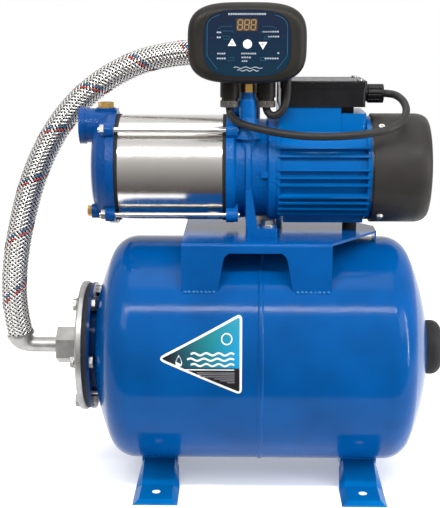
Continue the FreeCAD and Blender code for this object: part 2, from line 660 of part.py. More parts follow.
def bracket_bolts():
    bolts = []
    for y in (-FOOT_BOLT_Y, FOOT_BOLT_Y):
        top = BRIDGE_Z + PAD_Z
        washer = cylinder((FOOT_BOLT_X, y, top), Z_AXIS, 9.0, 1.6)
        head = hexagon((FOOT_BOLT_X, y, top + 1.6), Z_AXIS, 13.0, 5.6, 12)
        shank = cylinder((FOOT_BOLT_X, y, BRIDGE_Z - 10.5), Z_AXIS, 4.0, top + 2 - BRIDGE_Z + 10.5)
        nut = hexagon((FOOT_BOLT_X, y, BRIDGE_Z - BRIDGE_SHEET - 6.5), Z_AXIS, 13.0, 6.5, 12)
        bolts.append(joined([washer, head, shank, nut]))
    return bolts


def bearing(x0, x1):
    outer = tube((x0, 0, AXIS_Z), X_AXIS, 19.98, 15.5, x1 - x0)
    inner = tube((x0, 0, AXIS_Z), X_AXIS, 12.5, BEARING_SEAT_R + 0.03, x1 - x0)
    shield = tube((x0 + 1.5, 0, AXIS_Z), X_AXIS, 16.0, 12.0, x1 - x0 - 3)
    return joined([outer, inner, shield])


def fin_angles():
    angles = [FIN_FIRST]
    for step in FIN_STEPS:
        angles.append(angles[-1] + step)
    return angles


def motor_housing():
    """A finned aluminium tube with a raised seat for the terminal box."""
    length = HOUSING_X1 - BRACKET_X1
    body = cylinder((BRACKET_X1, 0, AXIS_Z), X_AXIS, HOUSING_R, length)
    parts = [body]
    fin = block(BRACKET_X1 + 3, HOUSING_X1 - 3, -FIN_R, -HOUSING_R + 2, AXIS_Z - FIN_T / 2,
                AXIS_Z + FIN_T / 2)
    for angle in fin_angles():
        parts.append(around(fin, AXIS_Z, angle))
        parts.append(around(fin, AXIS_Z, 180 - angle))
    for x0 in (BRACKET_X1, HOUSING_X1 - 5.0):
        parts.append(cylinder((x0, 0, AXIS_Z), X_AXIS, HOUSING_R + 3.5, 5.0))
    shoulders = block(BRACKET_X1 + 3, 122.0, -38.0, 38.0, AXIS_Z + 20, AXIS_Z + 68)
    seat = block(BRACKET_X1 + 3, 92.0, -40.0, 40.0, AXIS_Z + 20, BOX_Z0)
    base = block(BRACKET_X1 + 10, 122.0, -20.0, 20.0, AXIS_Z - 63.5, AXIS_Z - 40)
    parts += [shoulders.makeFillet(6.0, along_axis(shoulders, Z_AXIS)), seat, base]
    bore = cylinder((BRACKET_X1 - 1, 0, AXIS_Z), X_AXIS, 52.3, length + 2)
    wire_hole = block(50.0, 72.0, -9.0, 9.0, AXIS_Z + 40, BOX_Z0 + 5)
    return minus(joined(parts), [bore, wire_hole])


def stator_core():
    stack = tube((32.0, 0, AXIS_Z), X_AXIS, 52.2, 30.5, 72.0)
    slots = []
    for index in range(24):
        slot = block(31, 105, 33.0, 43.0, AXIS_Z - 2, AXIS_Z + 2)
        slots.append(around(slot, AXIS_Z, 15 * index))
    return minus(stack, slots)


def stator_windings():
    return [tube((x, 0, AXIS_Z), X_AXIS, 46.0, 33.0, 12.0) for x in (20.0, 104.0)]


def rotor_core():
    return tube((33.0, 0, AXIS_Z), X_AXIS, 30.0, 11.0, 70.0)


def rear_shield():
    plate = cylinder((HOUSING_X1, 0, AXIS_Z), X_AXIS, HOUSING_R + 3.0, 4.0)
    hub = cylinder((116.5, 0, AXIS_Z), X_AXIS, 25.0, 14.0)
    spigot = tube((122.0, 0, AXIS_Z), X_AXIS, 52.2, 47.0, 6.5)
    pocket = cylinder((114.0, 0, AXIS_Z), X_AXIS, 20.0, 14.0)
    shaft_hole = cylinder((110.0, 0, AXIS_Z), X_AXIS, 9.5, 30)
    lug = block(HOUSING_X1 + 1, 145.5, -7.0, 7.0, AXIS_Z + 52.5, AXIS_Z + 62.0)
    cover_lugs = [around(lug, AXIS_Z, angle) for angle in SCREW_TURNS]
    return minus(joined([plate, hub, spigot] + cover_lugs), [pocket, shaft_hole] + cover_screw_holes(2.1))


def cooling_fan():
    hub = tube((141.0, 0, AXIS_Z), X_AXIS, 13.0, SHAFT_R, 17.0)
    disc = tube((141.0, 0, AXIS_Z), X_AXIS, FAN_R - 4, 10.0, 2.0)
    blades = []
    for index in range(8):
        blade = block(141.5, 159.0, 11.0, FAN_R, AXIS_Z - 1, AXIS_Z + 1)
        blades.append(around(blade, AXIS_Z, 45 * index))
    return joined([hub, disc] + blades)


def cover_screw_holes(radius):
    holes = []
    for angle in SCREW_TURNS:
        hole = cylinder((139.5, 0, AXIS_Z + 45), Z_AXIS, radius, 40)
        holes.append(around(hole, AXIS_Z, angle))
    return holes


def fan_cover():
    """A cup with a rounded end, slotted for air, held by radial screws."""
    outer = [(COVER_X0, COVER_R)]
    inner = [(COVER_X0, COVER_R - COVER_WALL)]
    for index in range(9):
        turn = math.radians(90 * index / 8)
        x = COVER_X1 - COVER_ROUND_X * (1 - math.sin(turn))
        radius = COVER_R - COVER_ROUND_R * (1 - math.cos(turn))
        outer.append((x, radius))
        inner.append((x - COVER_WALL * math.sin(turn), radius - COVER_WALL))
    cup = turned(outer + [(COVER_X1, 0.0), (COVER_X1 - COVER_WALL, 0.0)] + inner[::-1], AXIS_Z)
    slots = []
    for row in range(-5, 6):
        z = AXIS_Z + 8.0 * row
        half = math.sqrt((COVER_R - 17) ** 2 - (8.0 * row) ** 2)
        for side in (-1, 1):
            y0, y1 = sorted((side * 4.0, side * max(half, 6.0)))
            slots.append(block(COVER_X1 - 5, COVER_X1 + 1, y0, y1, z - 2, z + 2))
    return minus(cup, slots + cover_screw_holes(2.1))


def cover_screws():
    """Cross-head screws: four hold the fan cover, four hold the terminal lid."""
    screws = []
    for angle in SCREW_TURNS:
        z = AXIS_Z + COVER_R + 0.03
        head = Part.makeCone(4.6, 3.4, 2.8, FreeCAD.Vector(139.5, 0, z))
        shank = cylinder((139.5, 0, z - 10), Z_AXIS, 2.0, 10.5)
        cross = [block(139.5 - 2.6, 139.5 + 2.6, -0.5, 0.5, z + 1.5, z + 4),
                 block(139.5 - 0.5, 139.5 + 0.5, -2.6, 2.6, z + 1.5, z + 4)]
        screws.append(around(minus(joined([head, shank]), cross), AXIS_Z, angle))
    for x in (BOX_X0 + 7, BOX_X1 - 7):
        for y in (BOX_Y0 + 7, BOX_Y1 - 7):
            head = cylinder((x, y, BOX_TOP), Z_AXIS, 3.4, 1.8)
            shank = cylinder((x, y, BOX_TOP - 14), Z_AXIS, 1.7, 14.5)
            cross = [block(x - 2.2, x + 2.2, y - 0.4, y + 0.4, BOX_TOP + 0.8, BOX_TOP + 3),
                     block(x - 0.4, x + 0.4, y - 2.2, y + 2.2, BOX_TOP + 0.8, BOX_TOP + 3)]
            screws.append(minus(joined([head, shank]), cross))
    return screws


def motor_foot():
    rubber = cylinder((108.0, 0, BRIDGE_Z), Z_AXIS, 8.6, AXIS_Z - 63.5 - BRIDGE_Z)
    return rubber


def box_columns(z0, z1, radius):
    return [cylinder((x, y, z0), Z_AXIS, radius, z1 - z0)
            for x in (BOX_X0 + 7, BOX_X1 - 7) for y in (BOX_Y0 + 7, BOX_Y1 - 7)]


def terminal_box():
    outer = soft_block((BOX_X0, BOX_X1, BOX_Y0, BOX_Y1, BOX_Z0, LID_Z), Z_AXIS, 4.0)
    inner = block(BOX_X0 + BOX_WALL, BOX_X1 - BOX_WALL, BOX_Y0 + BOX_WALL, BOX_Y1 - BOX_WALL,
                  BOX_Z0 + BOX_WALL, LID_Z + 1)
    pedestal = block(92.2, 108.0, -24.0, 24.0, AXIS_Z + 68.2, BOX_Z0)
    columns = box_columns(BOX_Z0 + 1, LID_Z, 3.6)
    gland_hole = cylinder((BOX_X1 - 5, 0, GLAND_Z), X_AXIS, 7.0, 10)
    wire_hole = block(50.0, 72.0, -9.0, 9.0, BOX_Z0 - 5, BOX_Z0 + 5)
    return minus(joined([outer.cut(inner), pedestal] + columns),
                 [gland_hole, wire_hole] + box_columns(BOX_TOP - 14.5, BOX_TOP, 1.75))


def terminal_lid():
    outer = soft_block((BOX_X0 - 0.8, BOX_X1 + 1.6, BOX_Y0 - 0.8, BOX_Y1 + 0.8, LID_Z, BOX_TOP), Z_AXIS, 4.5)
    top_edges = [edge for edge in outer.Edges if edge.BoundBox.ZMin > BOX_TOP - 0.1]
    outer = outer.makeFillet(1.5, top_edges)
    inner = block(BOX_X0 + BOX_WALL, BOX_X1 - BOX_WALL, BOX_Y0 + BOX_WALL, BOX_Y1 - BOX_WALL,
                  LID_Z - 1, BOX_TOP - BOX_WALL)
    columns = box_columns(LID_Z, BOX_TOP - 1, 3.6)
    return minus(joined([outer.cut(inner)] + columns), box_columns(LID_Z - 1, BOX_TOP + 1, 1.75))


def terminal_block():
    body = block(38.0, 84.0, -26.0, -12.0, BOX_Z0 + BOX_WALL, BOX_Z0 + BOX_WALL + 12)
    wells = [cylinder((42.0 + 7.6 * index, -19.0, BOX_Z0 + 9), Z_AXIS, 2.4, 10) for index in range(6)]
    return minus(body, wells)


def run_capacitor():
    radius = 8.8
    can = cylinder((36.0, 26.0, BOX_Z0 + BOX_WALL + radius), X_AXIS, radius, 58.0)
    return can.makeFillet(1.5, [edge for edge in can.Edges if edge.BoundBox.XLength < 0.1])


def ribbed_nut(base, axis, radius, length, hole):
    """A gland nut with shallow flutes round its rim."""
    nut = cylinder(base, axis, radius, length)
    nut = nut.makeFillet(1.0, [edge for edge in nut.Edges if edge.Length > 6 * radius])
    flutes = []
    side = vec(axis).cross(vec((0, 1, 0)))
    side.normalize()
    for index in range(12):
        turn = FreeCAD.Rotation(vec(axis), 30 * index)
        centre = vec(base).add(turn.multVec(side).multiply(radius + 0.9))
        flutes.append(Part.makeCylinder(1.7, length - 3.5, centre, vec(axis)))
    return minus(nut, flutes + [cylinder(base, axis, hole, length)])


def motor_gland():
    stem = tube((BOX_X1 - 4.0, 0, GLAND_Z), X_AXIS, 6.9, CABLE_R + 0.05, GLAND_X0 - BOX_X1 + 4.0)
    collar = tube((BOX_X1 + 1.6, 0, GLAND_Z), X_AXIS, 9.6, CABLE_R + 0.05, GLAND_X0 - BOX_X1 - 1.6)
    nut = ribbed_nut((GLAND_X0, 0, GLAND_Z), X_AXIS, GLAND_R, GLAND_X1 - GLAND_X0, CABLE_R + 0.05)
    return joined([stem, collar, nut])


# ---------------------------------------------------------------- controller

def soft_outline(y, half_w, half_h, power):
    """A closed superellipse in a plane across Y: a rectangle with bulging sides and soft corners."""
    steps = 48
    points = []
    for index in range(steps):
        angle = 2 * math.pi * index / steps
        wide = abs(math.cos(angle) / half_w) ** power
        high = abs(math.sin(angle) / half_h) ** power
        radius = (wide + high) ** (-1 / power)
        points.append(FreeCAD.Vector(CTRL_X + radius * math.cos(angle), y,
                                     CTRL_Z + radius * math.sin(angle)))
    curve = Part.BSplineCurve()
    curve.interpolate(points, PeriodicFlag=True)
    return Part.Wire([curve.toShape()])


def soft_slab(y0, y1, half_w, half_h, power=CTRL_POWER):
    near, far = sorted((y0, y1))
    return Part.Face(soft_outline(near, half_w, half_h, power)).extrude(FreeCAD.Vector(0, far - near, 0))


def edges_at(shape, y):
    return [edge for edge in shape.Edges if abs(edge.BoundBox.YMin - y) + abs(edge.BoundBox.YMax - y) < 0.02]


def triangle_prism(x, y0, y1, size, upward):
    """A triangular button body, its point up or down."""
    direction = 1 if upward else -1
    base_z = BUTTON_Z - direction * size * 0.45
    tip_z = BUTTON_Z + direction * size * 1.3
    points = [(x - size, y0, base_z), (x + size, y0, base_z), (x, y0, tip_z)]
    return prism(points, (0, y1 - y0, 0))


def button_forms(y0, y1, grow):
    """The up, set and down buttons, or with grow the holes they slide in."""
    up = triangle_prism(BUTTON_X - BUTTON_PITCH, y0, y1, 4.6 + grow * 1.8, True)
    middle = cylinder((BUTTON_X, y0, BUTTON_Z), Y_AXIS, BUTTON_R + grow, y1 - y0)
    down = triangle_prism(BUTTON_X + BUTTON_PITCH, y0, y1, 4.6 + grow * 1.8, False)
    return [up, middle, down]


def display_window(y0, y1, grow):
    return block(CTRL_X - 12.2 - grow, CTRL_X + 11.2 + grow, y0, y1, 543.2 - grow, 556.6 + grow)


def controller_cover():
    body = soft_slab(CTRL_SPLIT, CTRL_FRONT, CTRL_HALF_W, CTRL_HALF_H)
    body = body.makeFillet(11.0, edges_at(body, CTRL_FRONT))
    hollow = soft_slab(CTRL_SPLIT + 1, CTRL_FRONT + 4.5, CTRL_HALF_W - 8, CTRL_HALF_H - 8)
    recess = soft_slab(CTRL_FRONT - 1, PANEL_FLOOR, PANEL_HALF_W, PANEL_HALF_H)
    holes = button_forms(CTRL_FRONT - 1, CTRL_FRONT + 9, BUTTON_GAP + 0.4)
    window = display_window(CTRL_FRONT - 1, CTRL_FRONT + 9, 0.4)
    return minus(body, [hollow, recess, window] + holes)


def controller_panel():
    plate = soft_slab(PANEL_FLOOR - PANEL_T, PANEL_FLOOR, PANEL_HALF_W - 0.2, PANEL_HALF_H - 0.2)
    window = display_window(CTRL_FRONT - 1, CTRL_FRONT + 9, 0.05)
    return minus(plate, button_forms(CTRL_FRONT - 1, CTRL_FRONT + 9, BUTTON_GAP) + [window])


def button(index):
    cap = button_forms(CTRL_FRONT - 0.4, CTRL_FRONT + 6.0, 0.0)[index]
    x = BUTTON_X + BUTTON_PITCH * (index - 1)
    flange = cylinder((x, CTRL_FRONT + 4.7, BUTTON_Z), Y_AXIS, 7.2, 1.6)
    return joined([cap, flange])


def controller_display():
    return display_window(PANEL_FLOOR - PANEL_T, CTRL_FRONT + 9.4, 0.0)


def controller_board():
    front = CTRL_FRONT + 10.0
    board = soft_slab(front, front + 1.6, CTRL_HALF_W - 10, CTRL_HALF_H - 10)
    relay = block(CTRL_X + 20, CTRL_X + 40, front + 1.6, front + 15, 508.0, 526.0)
    transformer = block(CTRL_X - 42, CTRL_X - 18, front + 1.6, front + 16, 535.0, 552.0)
    return joined([board, relay, transformer])


def controller_case():
    """Rear half of the controller: a rim, a narrower back box and the two gland sockets."""
    rim = soft_slab(CTRL_SPLIT, CTRL_RIM, CTRL_HALF_W, CTRL_HALF_H)
    rim = rim.makeFillet(4.5, edges_at(rim, CTRL_RIM))
    rim_hollow = soft_slab(CTRL_SPLIT - 1, CTRL_RIM - 3.0, CTRL_HALF_W - 8, CTRL_HALF_H - 8)
    back = soft_block((CTRL_X - BACK_HALF_W, CTRL_X + BACK_HALF_W, CTRL_RIM - 6, CTRL_BACK,
                       BACK_Z0, BACK_Z1), Y_AXIS, 8.0)
    back_hollow = block(CTRL_X - BACK_HALF_W + 3, CTRL_X + BACK_HALF_W - 3, CTRL_RIM - 8,
                        CTRL_BACK - 3, BACK_Z0 + 3, BACK_Z1 - 3)
    sockets = []
    bores = []
    for side in (-1, 1):
        x = NECK_X + side * GLAND_OFFSET
        sockets.append(cylinder((x, NECK_Y, SOCKET_Z), Z_AXIS, SOCKET_R, BACK_Z0 + 1 - SOCKET_Z))
        sockets.append(cylinder((x, NECK_Y, NUT_Z1), Z_AXIS, 9.4, 5.0))
        bores.append(cylinder((x, NECK_Y, NUT_Z1 - 1), Z_AXIS, 6.5, 40))
    boss = cylinder((NECK_X, NECK_Y, 483.0), Z_AXIS, 7.9, 9.0)
    bores.append(cylinder((NECK_X, NECK_Y, 480.0), Z_AXIS, 5.8, 20))
    whole = rim.multiFuse([back, boss] + sockets)
    return minus(whole, [rim_hollow, back_hollow] + bores)


def gland_nuts():
    nuts = []
    for side in (-1, 1):
        x = NECK_X + side * GLAND_OFFSET
        nuts.append(ribbed_nut((x, NECK_Y, NUT_Z1), (0, 0, -1), SOCKET_R, NUT_Z1 - NUT_Z0, CABLE_R + 0.05))
    return nuts


def pressure_nipple():
    middle = hexagon((NECK_X, NECK_Y, NECK_TOP), Z_AXIS, 14.0, 9.5, 10)
    lower = cylinder((NECK_X, NECK_Y, NECK_TOP - 10.5), Z_AXIS, 5.8, 11)
    upper = cylinder((NECK_X, NECK_Y, NECK_TOP + 9), Z_AXIS, 5.8, 10)
    bore = cylinder((NECK_X, NECK_Y, NECK_TOP - 12), Z_AXIS, 2.5, 40)
    return joined([middle, lower, upper]).cut(bore)


# ---------------------------------------------------------------- hose and cables

def route_path(points):
    """Straight runs joined by the largest tangent arcs their runs allow."""
    spots = [vec(point) for point in points]
    edges = []
    radii = []
    previous = spots[0]
    for before, corner, after in zip(spots, spots[1:], spots[2:]):
        incoming = before.sub(corner)
        outgoing = after.sub(corner)
        reach = 0.45 * min(incoming.Length, outgoing.Length)
        incoming.normalize()
        outgoing.normalize()
        half_turn = (math.pi - incoming.getAngle(outgoing)) / 2
        radius = reach / math.tan(half_turn)
        radii.append(radius)
        start = corner.add(FreeCAD.Vector(incoming).multiply(reach))
        end = corner.add(FreeCAD.Vector(outgoing).multiply(reach))
        inward = incoming.add(outgoing).normalize()
        sagitta = radius * (1 / math.cos(half_turn) - 1)
        middle = corner.add(inward.multiply(sagitta))
        edges.append(Part.LineSegment(previous, start).toShape())
        edges.append(Part.Arc(start, middle, end).toShape())
        previous = end
    edges.append(Part.LineSegment(previous, spots[-1]).toShape())
    return Part.Wire(edges), radii


def swept_tube(name, points, radius):
    path, radii = route_path(points)
    first = vec(points[1]).sub(vec(points[0]))
    circle = Part.Wire([Part.makeCircle(radius, vec(points[0]), first)])
    solid = path.makePipeShell([circle], True, False, 0)
    ratio = solid.Volume / (math.pi * radius ** 2 * path.Length)
    print("%s length %.0f volume ratio %.4f" % (name, path.Length, ratio))
    print("  radii", [round(value) for value in radii])
    return solid


def elbow(start, heading, leaving, bend, wide, narrow):
    """A bent fitting that tapers from the hose to the pipe, and where it ends."""
    heading = vec(heading)
    leaving = vec(leaving)
    heading.normalize()
    leaving.normalize()
    turn = heading.getAngle(leaving)
    axis = heading.cross(leaving)
    axis.normalize()
    centre = vec(start).add(axis.cross(heading).multiply(bend))
    sections = []
    stations = 8
    for index in range(stations + 1):
        share = index / stations
        step = FreeCAD.Rotation(axis, math.degrees(turn * share))
        point = centre.add(step.multVec(vec(start).sub(centre)))
        ease = share * share * (3 - 2 * share)
        radius = wide + (narrow - wide) * ease
        sections.append(Part.Wire([Part.makeCircle(radius, point, step.multVec(heading))]))
    end = centre.add(FreeCAD.Rotation(axis, math.degrees(turn)).multVec(vec(start).sub(centre)))
    return Part.makeLoft(sections, True, False), end


def tank_elbow():
    """Lower hose end: crimped ferrule, tapering bend and pipe to the tank flange."""
    start = vec(HOSE[-1])
    heading = start.sub(vec(HOSE[-2])).normalize()
    fall = -heading.z
    bend_r = (start.z - TANK_Z) / (1 - math.sqrt(1 - fall ** 2))
    bend, end = elbow(HOSE[-1], heading, X_AXIS, bend_r, FERRULE_R - 0.6, ELBOW_R)
    collar = Part.makeCylinder(FERRULE_R, 3.0, start, heading)
    pipe = cylinder((end.x, end.y, end.z), X_AXIS, ELBOW_R, STUB_X - end.x - 1.0)
    flare = cylinder((STUB_X - 5.0, 0, end.z), X_AXIS, 14.0, 4.0)
    print("lower elbow bend", round(bend_r, 1), "ends at", round(end.x, 2), round(end.z, 2))
    return joined([bend, collar, pipe, flare])


def outlet_elbow():
    """Upper hose end: from the vertical pump outlet to the hose behind the controller."""
    start = vec(HOSE[0])
    heading = start.sub(vec(HOSE[1])).normalize()
    bend, end = elbow(HOSE[0], heading, (0, 0, -1), 26.0, FERRULE_R - 0.6, ELBOW_R + 3.3)
    collar = Part.makeCylinder(FERRULE_R, 3.0, start, heading)
    foot_z = OUTLET_TOP + 1.0
    pipe = cylinder((end.x, end.y, foot_z), Z_AXIS, ELBOW_R + 3.3, end.z - foot_z)
    print("upper elbow foot at", round(end.x, 2), round(end.y, 2), round(end.z, 2))
    return joined([bend, collar, pipe]), end.x, end.y


def union_nuts(outlet_x, outlet_y):
    lower = hexagon((STUB_X - 15.0, 0, TANK_Z), X_AXIS, UNION_AF, 27.0, 0)
    lower = minus(lower, [cylinder((STUB_X - 16.0, 0, TANK_Z), X_AXIS, ELBOW_R, 13.0),
                          cylinder((STUB_X - 5.0, 0, TANK_Z), X_AXIS, STUB_R, 30.0)])
    upper_base = (outlet_x, outlet_y, OUTLET_TOP)
    upper = hexagon(upper_base, Z_AXIS, UNION_AF, 22.0, 0)
    upper = upper.cut(cylinder(upper_base, Z_AXIS, ELBOW_R + 3.3, 30.0))
    spigot = tube((outlet_x, outlet_y, OUTLET_TOP - 14), Z_AXIS, 15.1, 12.0, 14.0)
    return [lower, joined([upper, spigot])]


def coil_ring(z0, height, margin):
    """Outer form of the coiled cable; with a margin it is the space to keep clear for it."""
    half = CABLE_R + margin
    return tube((COIL_X, COIL_Y, z0), Z_AXIS, COIL_MID_R + half, COIL_MID_R - half, height)


def mains_coil():
    """The coil, and the straight lead from its top turn to the plug."""
    ring = coil_ring(0.0, PLUG_Z + CABLE_R, 0.0)
    lead = cylinder((LEAD_END_X, PLUG_Y, PLUG_Z), X_AXIS, CABLE_R, COIL_X - LEAD_END_X)
    return [ring, lead.cut(coil_ring(0.0, PLUG_Z + CABLE_R + 1.0, 0.3))]


def mains_plug():
    """A round two-pin plug lying beside the coil, pins towards -X."""
    front = LEAD_END_X - RELIEF_LENGTH - PLUG_LENGTH
    body = cylinder((front, PLUG_Y, PLUG_Z), X_AXIS, PLUG_Z - 0.05, PLUG_LENGTH)
    body = body.makeFillet(3.0, [edge for edge in body.Edges if edge.BoundBox.XLength < 0.1])
    relief = Part.makeCone(11.0, CABLE_R + 0.8, RELIEF_LENGTH,
                           FreeCAD.Vector(front + PLUG_LENGTH, PLUG_Y, PLUG_Z), vec(X_AXIS))
    pins = [cylinder((front - PIN_LENGTH, PLUG_Y + side * 9.5, PLUG_Z), X_AXIS, 2.4, PIN_LENGTH + 1)
            for side in (-1, 1)]
    return joined([body, relief] + pins)


# ---------------------------------------------------------------- build

def main():
    os.makedirs("parts", exist_ok=True)
    envelope = tank_envelope()

    export("tank_shell_left", tank_half(-1, MOUTH_R).fuse(weld_seam()))
    export("tank_shell_right", tank_half(1, VALVE_HOLE_R))
    export("tank_flange", tank_flange())
    export("bladder", bladder())
    export("tank_neck_ring", neck_ring(envelope))
    export("flange_bolts", *flange_bolts())
    export("air_valve_body", air_valve_body())
    export("air_valve_pin", cylinder((199.0, 0, TANK_Z), X_AXIS, 1.6, 14.0))
    export("air_valve_cap", air_valve_cap())
    export("foot_left", tank_foot(-1, envelope))
    export("foot_right", tank_foot(1, envelope))
    export("pump_bridge", pump_bridge(envelope))
    export("tank_sticker", tank_sticker())

    export("suction_casing", suction_casing())
    export("priming_plug", priming_plug())
    export("drain_plug", drain_plug())
    export("sleeve_gaskets", *sleeve_gaskets())
    export("pump_sleeve", tube((SLEEVE_X0, 0, AXIS_Z), X_AXIS, SLEEVE_R, SLEEVE_R - SLEEVE_WALL,
                               SLEEVE_X1 - SLEEVE_X0))
    export("tie_rods", *tie_rods())
    export("stage_diffusers", *[diffuser(stage_x(index)) for index in range(STAGES)])
    export("impellers", *[impeller(stage_x(index)) for index in range(STAGES)])
    export("impeller_spacers", *impeller_spacers())
    export("impeller_nut", impeller_nut())
    export("pump_shaft", pump_shaft())
    export("seal_seat", seal_seat())
    export("seal_head", seal_head())

    upper_elbow, outlet_x, outlet_y = outlet_elbow()
    export("motor_bracket", motor_bracket(outlet_x, outlet_y))
    export("bracket_bolts", *bracket_bolts())
    export("bearings", bearing(2.0, 12.0), bearing(117.0, 128.0))
    export("motor_housing", motor_housing())
    export("stator_core", stator_core())
    export("stator_windings", *stator_windings())
    export("rotor_core", rotor_core())
    export("rear_shield", rear_shield())
    export("cooling_fan", cooling_fan())
    export("fan_cover", fan_cover())
    export("cover_screws", *cover_screws())
    export("motor_foot", motor_foot())
    export("terminal_box", terminal_box())
    export("terminal_lid", terminal_lid())
    export("terminal_block", terminal_block())
    export("run_capacitor", run_capacitor())
    export("motor_gland", motor_gland())

    export("controller_case", controller_case())
    export("controller_cover", controller_cover())
    export("controller_panel", controller_panel())
    export("controller_display", controller_display())
    export("controller_board", controller_board())
    for index, name in enumerate(("button_up", "button_set", "button_down")):
        export(name, button(index))
    export("controller_gland_nuts", *gland_nuts())
    export("pressure_nipple", pressure_nipple())

    export("hose_elbows", tank_elbow(), upper_elbow)
    export("union_nuts", *union_nuts(outlet_x, outlet_y))
    export("braided_hose", swept_tube("hose", HOSE, HOSE_R))
    export("motor_cable", swept_tube("motor cable", MOTOR_CABLE, CABLE_R))
    mains = swept_tube("mains cable", MAINS_CABLE, CABLE_R)
    export("mains_cable", mains.cut(coil_ring(-1.0, PLUG_Z + CABLE_R + 2.0, 0.3)))
    export("mains_coil", *mains_coil())
    export("mains_plug", mains_plug())


main()
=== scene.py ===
import math
import random

import bmesh
import bpy
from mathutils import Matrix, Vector


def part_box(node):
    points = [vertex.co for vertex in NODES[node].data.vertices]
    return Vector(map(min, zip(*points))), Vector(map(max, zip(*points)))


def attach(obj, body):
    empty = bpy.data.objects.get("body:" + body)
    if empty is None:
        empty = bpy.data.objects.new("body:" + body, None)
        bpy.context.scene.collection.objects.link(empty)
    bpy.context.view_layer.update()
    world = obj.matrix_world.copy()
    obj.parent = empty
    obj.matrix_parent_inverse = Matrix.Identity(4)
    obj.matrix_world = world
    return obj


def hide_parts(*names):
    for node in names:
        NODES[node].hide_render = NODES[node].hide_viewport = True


# Looks of the water pump and its pressure tank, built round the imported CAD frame.
# All sizes are in metres unless a name ends in MM or mm.
# The origin is on the floor between the feet, +X to the fan cover, +Y to the back, +Z up.

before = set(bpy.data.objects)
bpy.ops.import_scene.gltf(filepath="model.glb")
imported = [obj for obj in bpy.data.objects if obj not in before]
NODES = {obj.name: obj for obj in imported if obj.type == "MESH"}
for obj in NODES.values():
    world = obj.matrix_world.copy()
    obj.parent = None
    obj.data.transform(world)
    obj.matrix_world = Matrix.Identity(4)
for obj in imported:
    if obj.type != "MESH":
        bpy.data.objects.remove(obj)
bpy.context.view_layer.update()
MM = 0.001

TANK_R = 0.137
TANK_Z = 0.157
HOSE_R = 0.0162
CABLE_R = 0.0045

# Most of a noise texture's values lie between these two.
NOISE_LOW = 0.3
NOISE_HIGH = 0.7

# Socket numbers of the colour mix node, whose sockets share their names with the number mix.
MIX_FIRST = 6
MIX_SECOND = 7
MIX_RESULT = 2


# ---------------------------------------------------------------- shader building

class Shader:
    """A node material with one principled shader and short calls for its procedural nodes."""

    def __init__(self, name, color, roughness, metallic=0.0, **sockets):
        self.material = bpy.data.materials.new(name)
        self.material.use_nodes = True
        self.tree = self.material.node_tree
        self.bsdf = self.tree.nodes["Principled BSDF"]
        self.bsdf.inputs["Base Color"].default_value = (*color, 1.0)
        self.bsdf.inputs["Roughness"].default_value = roughness
        self.bsdf.inputs["Metallic"].default_value = metallic
        for socket, value in sockets.items():
            self.bsdf.inputs[socket.replace("_", " ")].default_value = value
        self.place = self.node("ShaderNodeTexCoord").outputs["Object"]
        self.normal = None

    def node(self, kind, **settings):
        made = self.tree.nodes.new(kind)
        for key, value in settings.items():
            setattr(made, key, value)
        return made

    def link(self, output, socket):
        self.tree.links.new(output, socket)

    def stretched(self, scale):
        """Object coordinates scaled by axis."""
        mapping = self.node("ShaderNodeMapping")
        mapping.inputs["Scale"].default_value = scale
        self.link(self.place, mapping.inputs["Vector"])
        return mapping.outputs["Vector"]

    def noise(self, scale, detail=3.0, rough=0.55, vector=None):
        made = self.node("ShaderNodeTexNoise")
        made.inputs["Scale"].default_value = scale
        made.inputs["Detail"].default_value = detail
        made.inputs["Roughness"].default_value = rough
        self.link(vector or self.place, made.inputs["Vector"])
        return made.outputs["Fac"]

    def axis(self, name, vector=None):
        split = self.node("ShaderNodeSeparateXYZ")
        self.link(vector or self.place, split.inputs["Vector"])
        return split.outputs[name]

    def math(self, operation, *values):
        made = self.node("ShaderNodeMath", operation=operation)
        for socket, value in zip(made.inputs, values):
            if isinstance(value, (int, float)):
                socket.default_value = value
            else:
                self.link(value, socket)
        return made.outputs["Value"]

    def ramp(self, source, stops):
        made = self.node("ShaderNodeValToRGB")
        elements = made.color_ramp.elements
        while len(elements) < len(stops):
            elements.new(0.5)
        for element, (position, color) in zip(elements, stops):
            element.position = position
            element.color = (*color, 1.0)
        self.link(source, made.inputs["Fac"])
        return made.outputs["Color"]

    def span(self, source, low, high, to_low=0.0, to_high=1.0):
        made = self.node("ShaderNodeMapRange")
        for socket, value in (("From Min", low), ("From Max", high), ("To Min", to_low), ("To Max", to_high)):
            made.inputs[socket].default_value = value
        self.link(source, made.inputs["Value"])
        return made.outputs["Result"]

    def mix(self, share, first, second):
        made = self.node("ShaderNodeMix", data_type="RGBA")
        self.link(share, made.inputs["Factor"])
        for socket, value in ((made.inputs[MIX_FIRST], first), (made.inputs[MIX_SECOND], second)):
            if isinstance(value, tuple):
                socket.default_value = (*value, 1.0)
            else:
                self.link(value, socket)
        return made.outputs[MIX_RESULT]

    def mottled(self, color, scale, darker, lighter, detail=2.0, low=NOISE_LOW, high=NOISE_HIGH):
        """A colour that drifts between a darker and a lighter shade of itself."""
        stops = [(low, tinted(color, darker)), (high, tinted(color, lighter))]
        return self.ramp(self.noise(scale, detail), stops)

    def color(self, output):
        self.link(output, self.bsdf.inputs["Base Color"])

    def roughness(self, noise, smoothest, roughest):
        """Lets a noise vary the roughness between two values."""
        varied = self.span(noise, NOISE_LOW, NOISE_HIGH, smoothest, roughest)
        self.link(varied, self.bsdf.inputs["Roughness"])

    def bump(self, height, distance):
        """Adds one layer of bump over those already there."""
        made = self.node("ShaderNodeBump")
        made.inputs["Distance"].default_value = distance
        self.link(height, made.inputs["Height"])
        if self.normal is not None:
            self.link(self.normal, made.inputs["Normal"])
        self.normal = made.outputs["Normal"]
        self.link(self.normal, self.bsdf.inputs["Normal"])
        self.link(self.normal, self.bsdf.inputs["Coat Normal"])


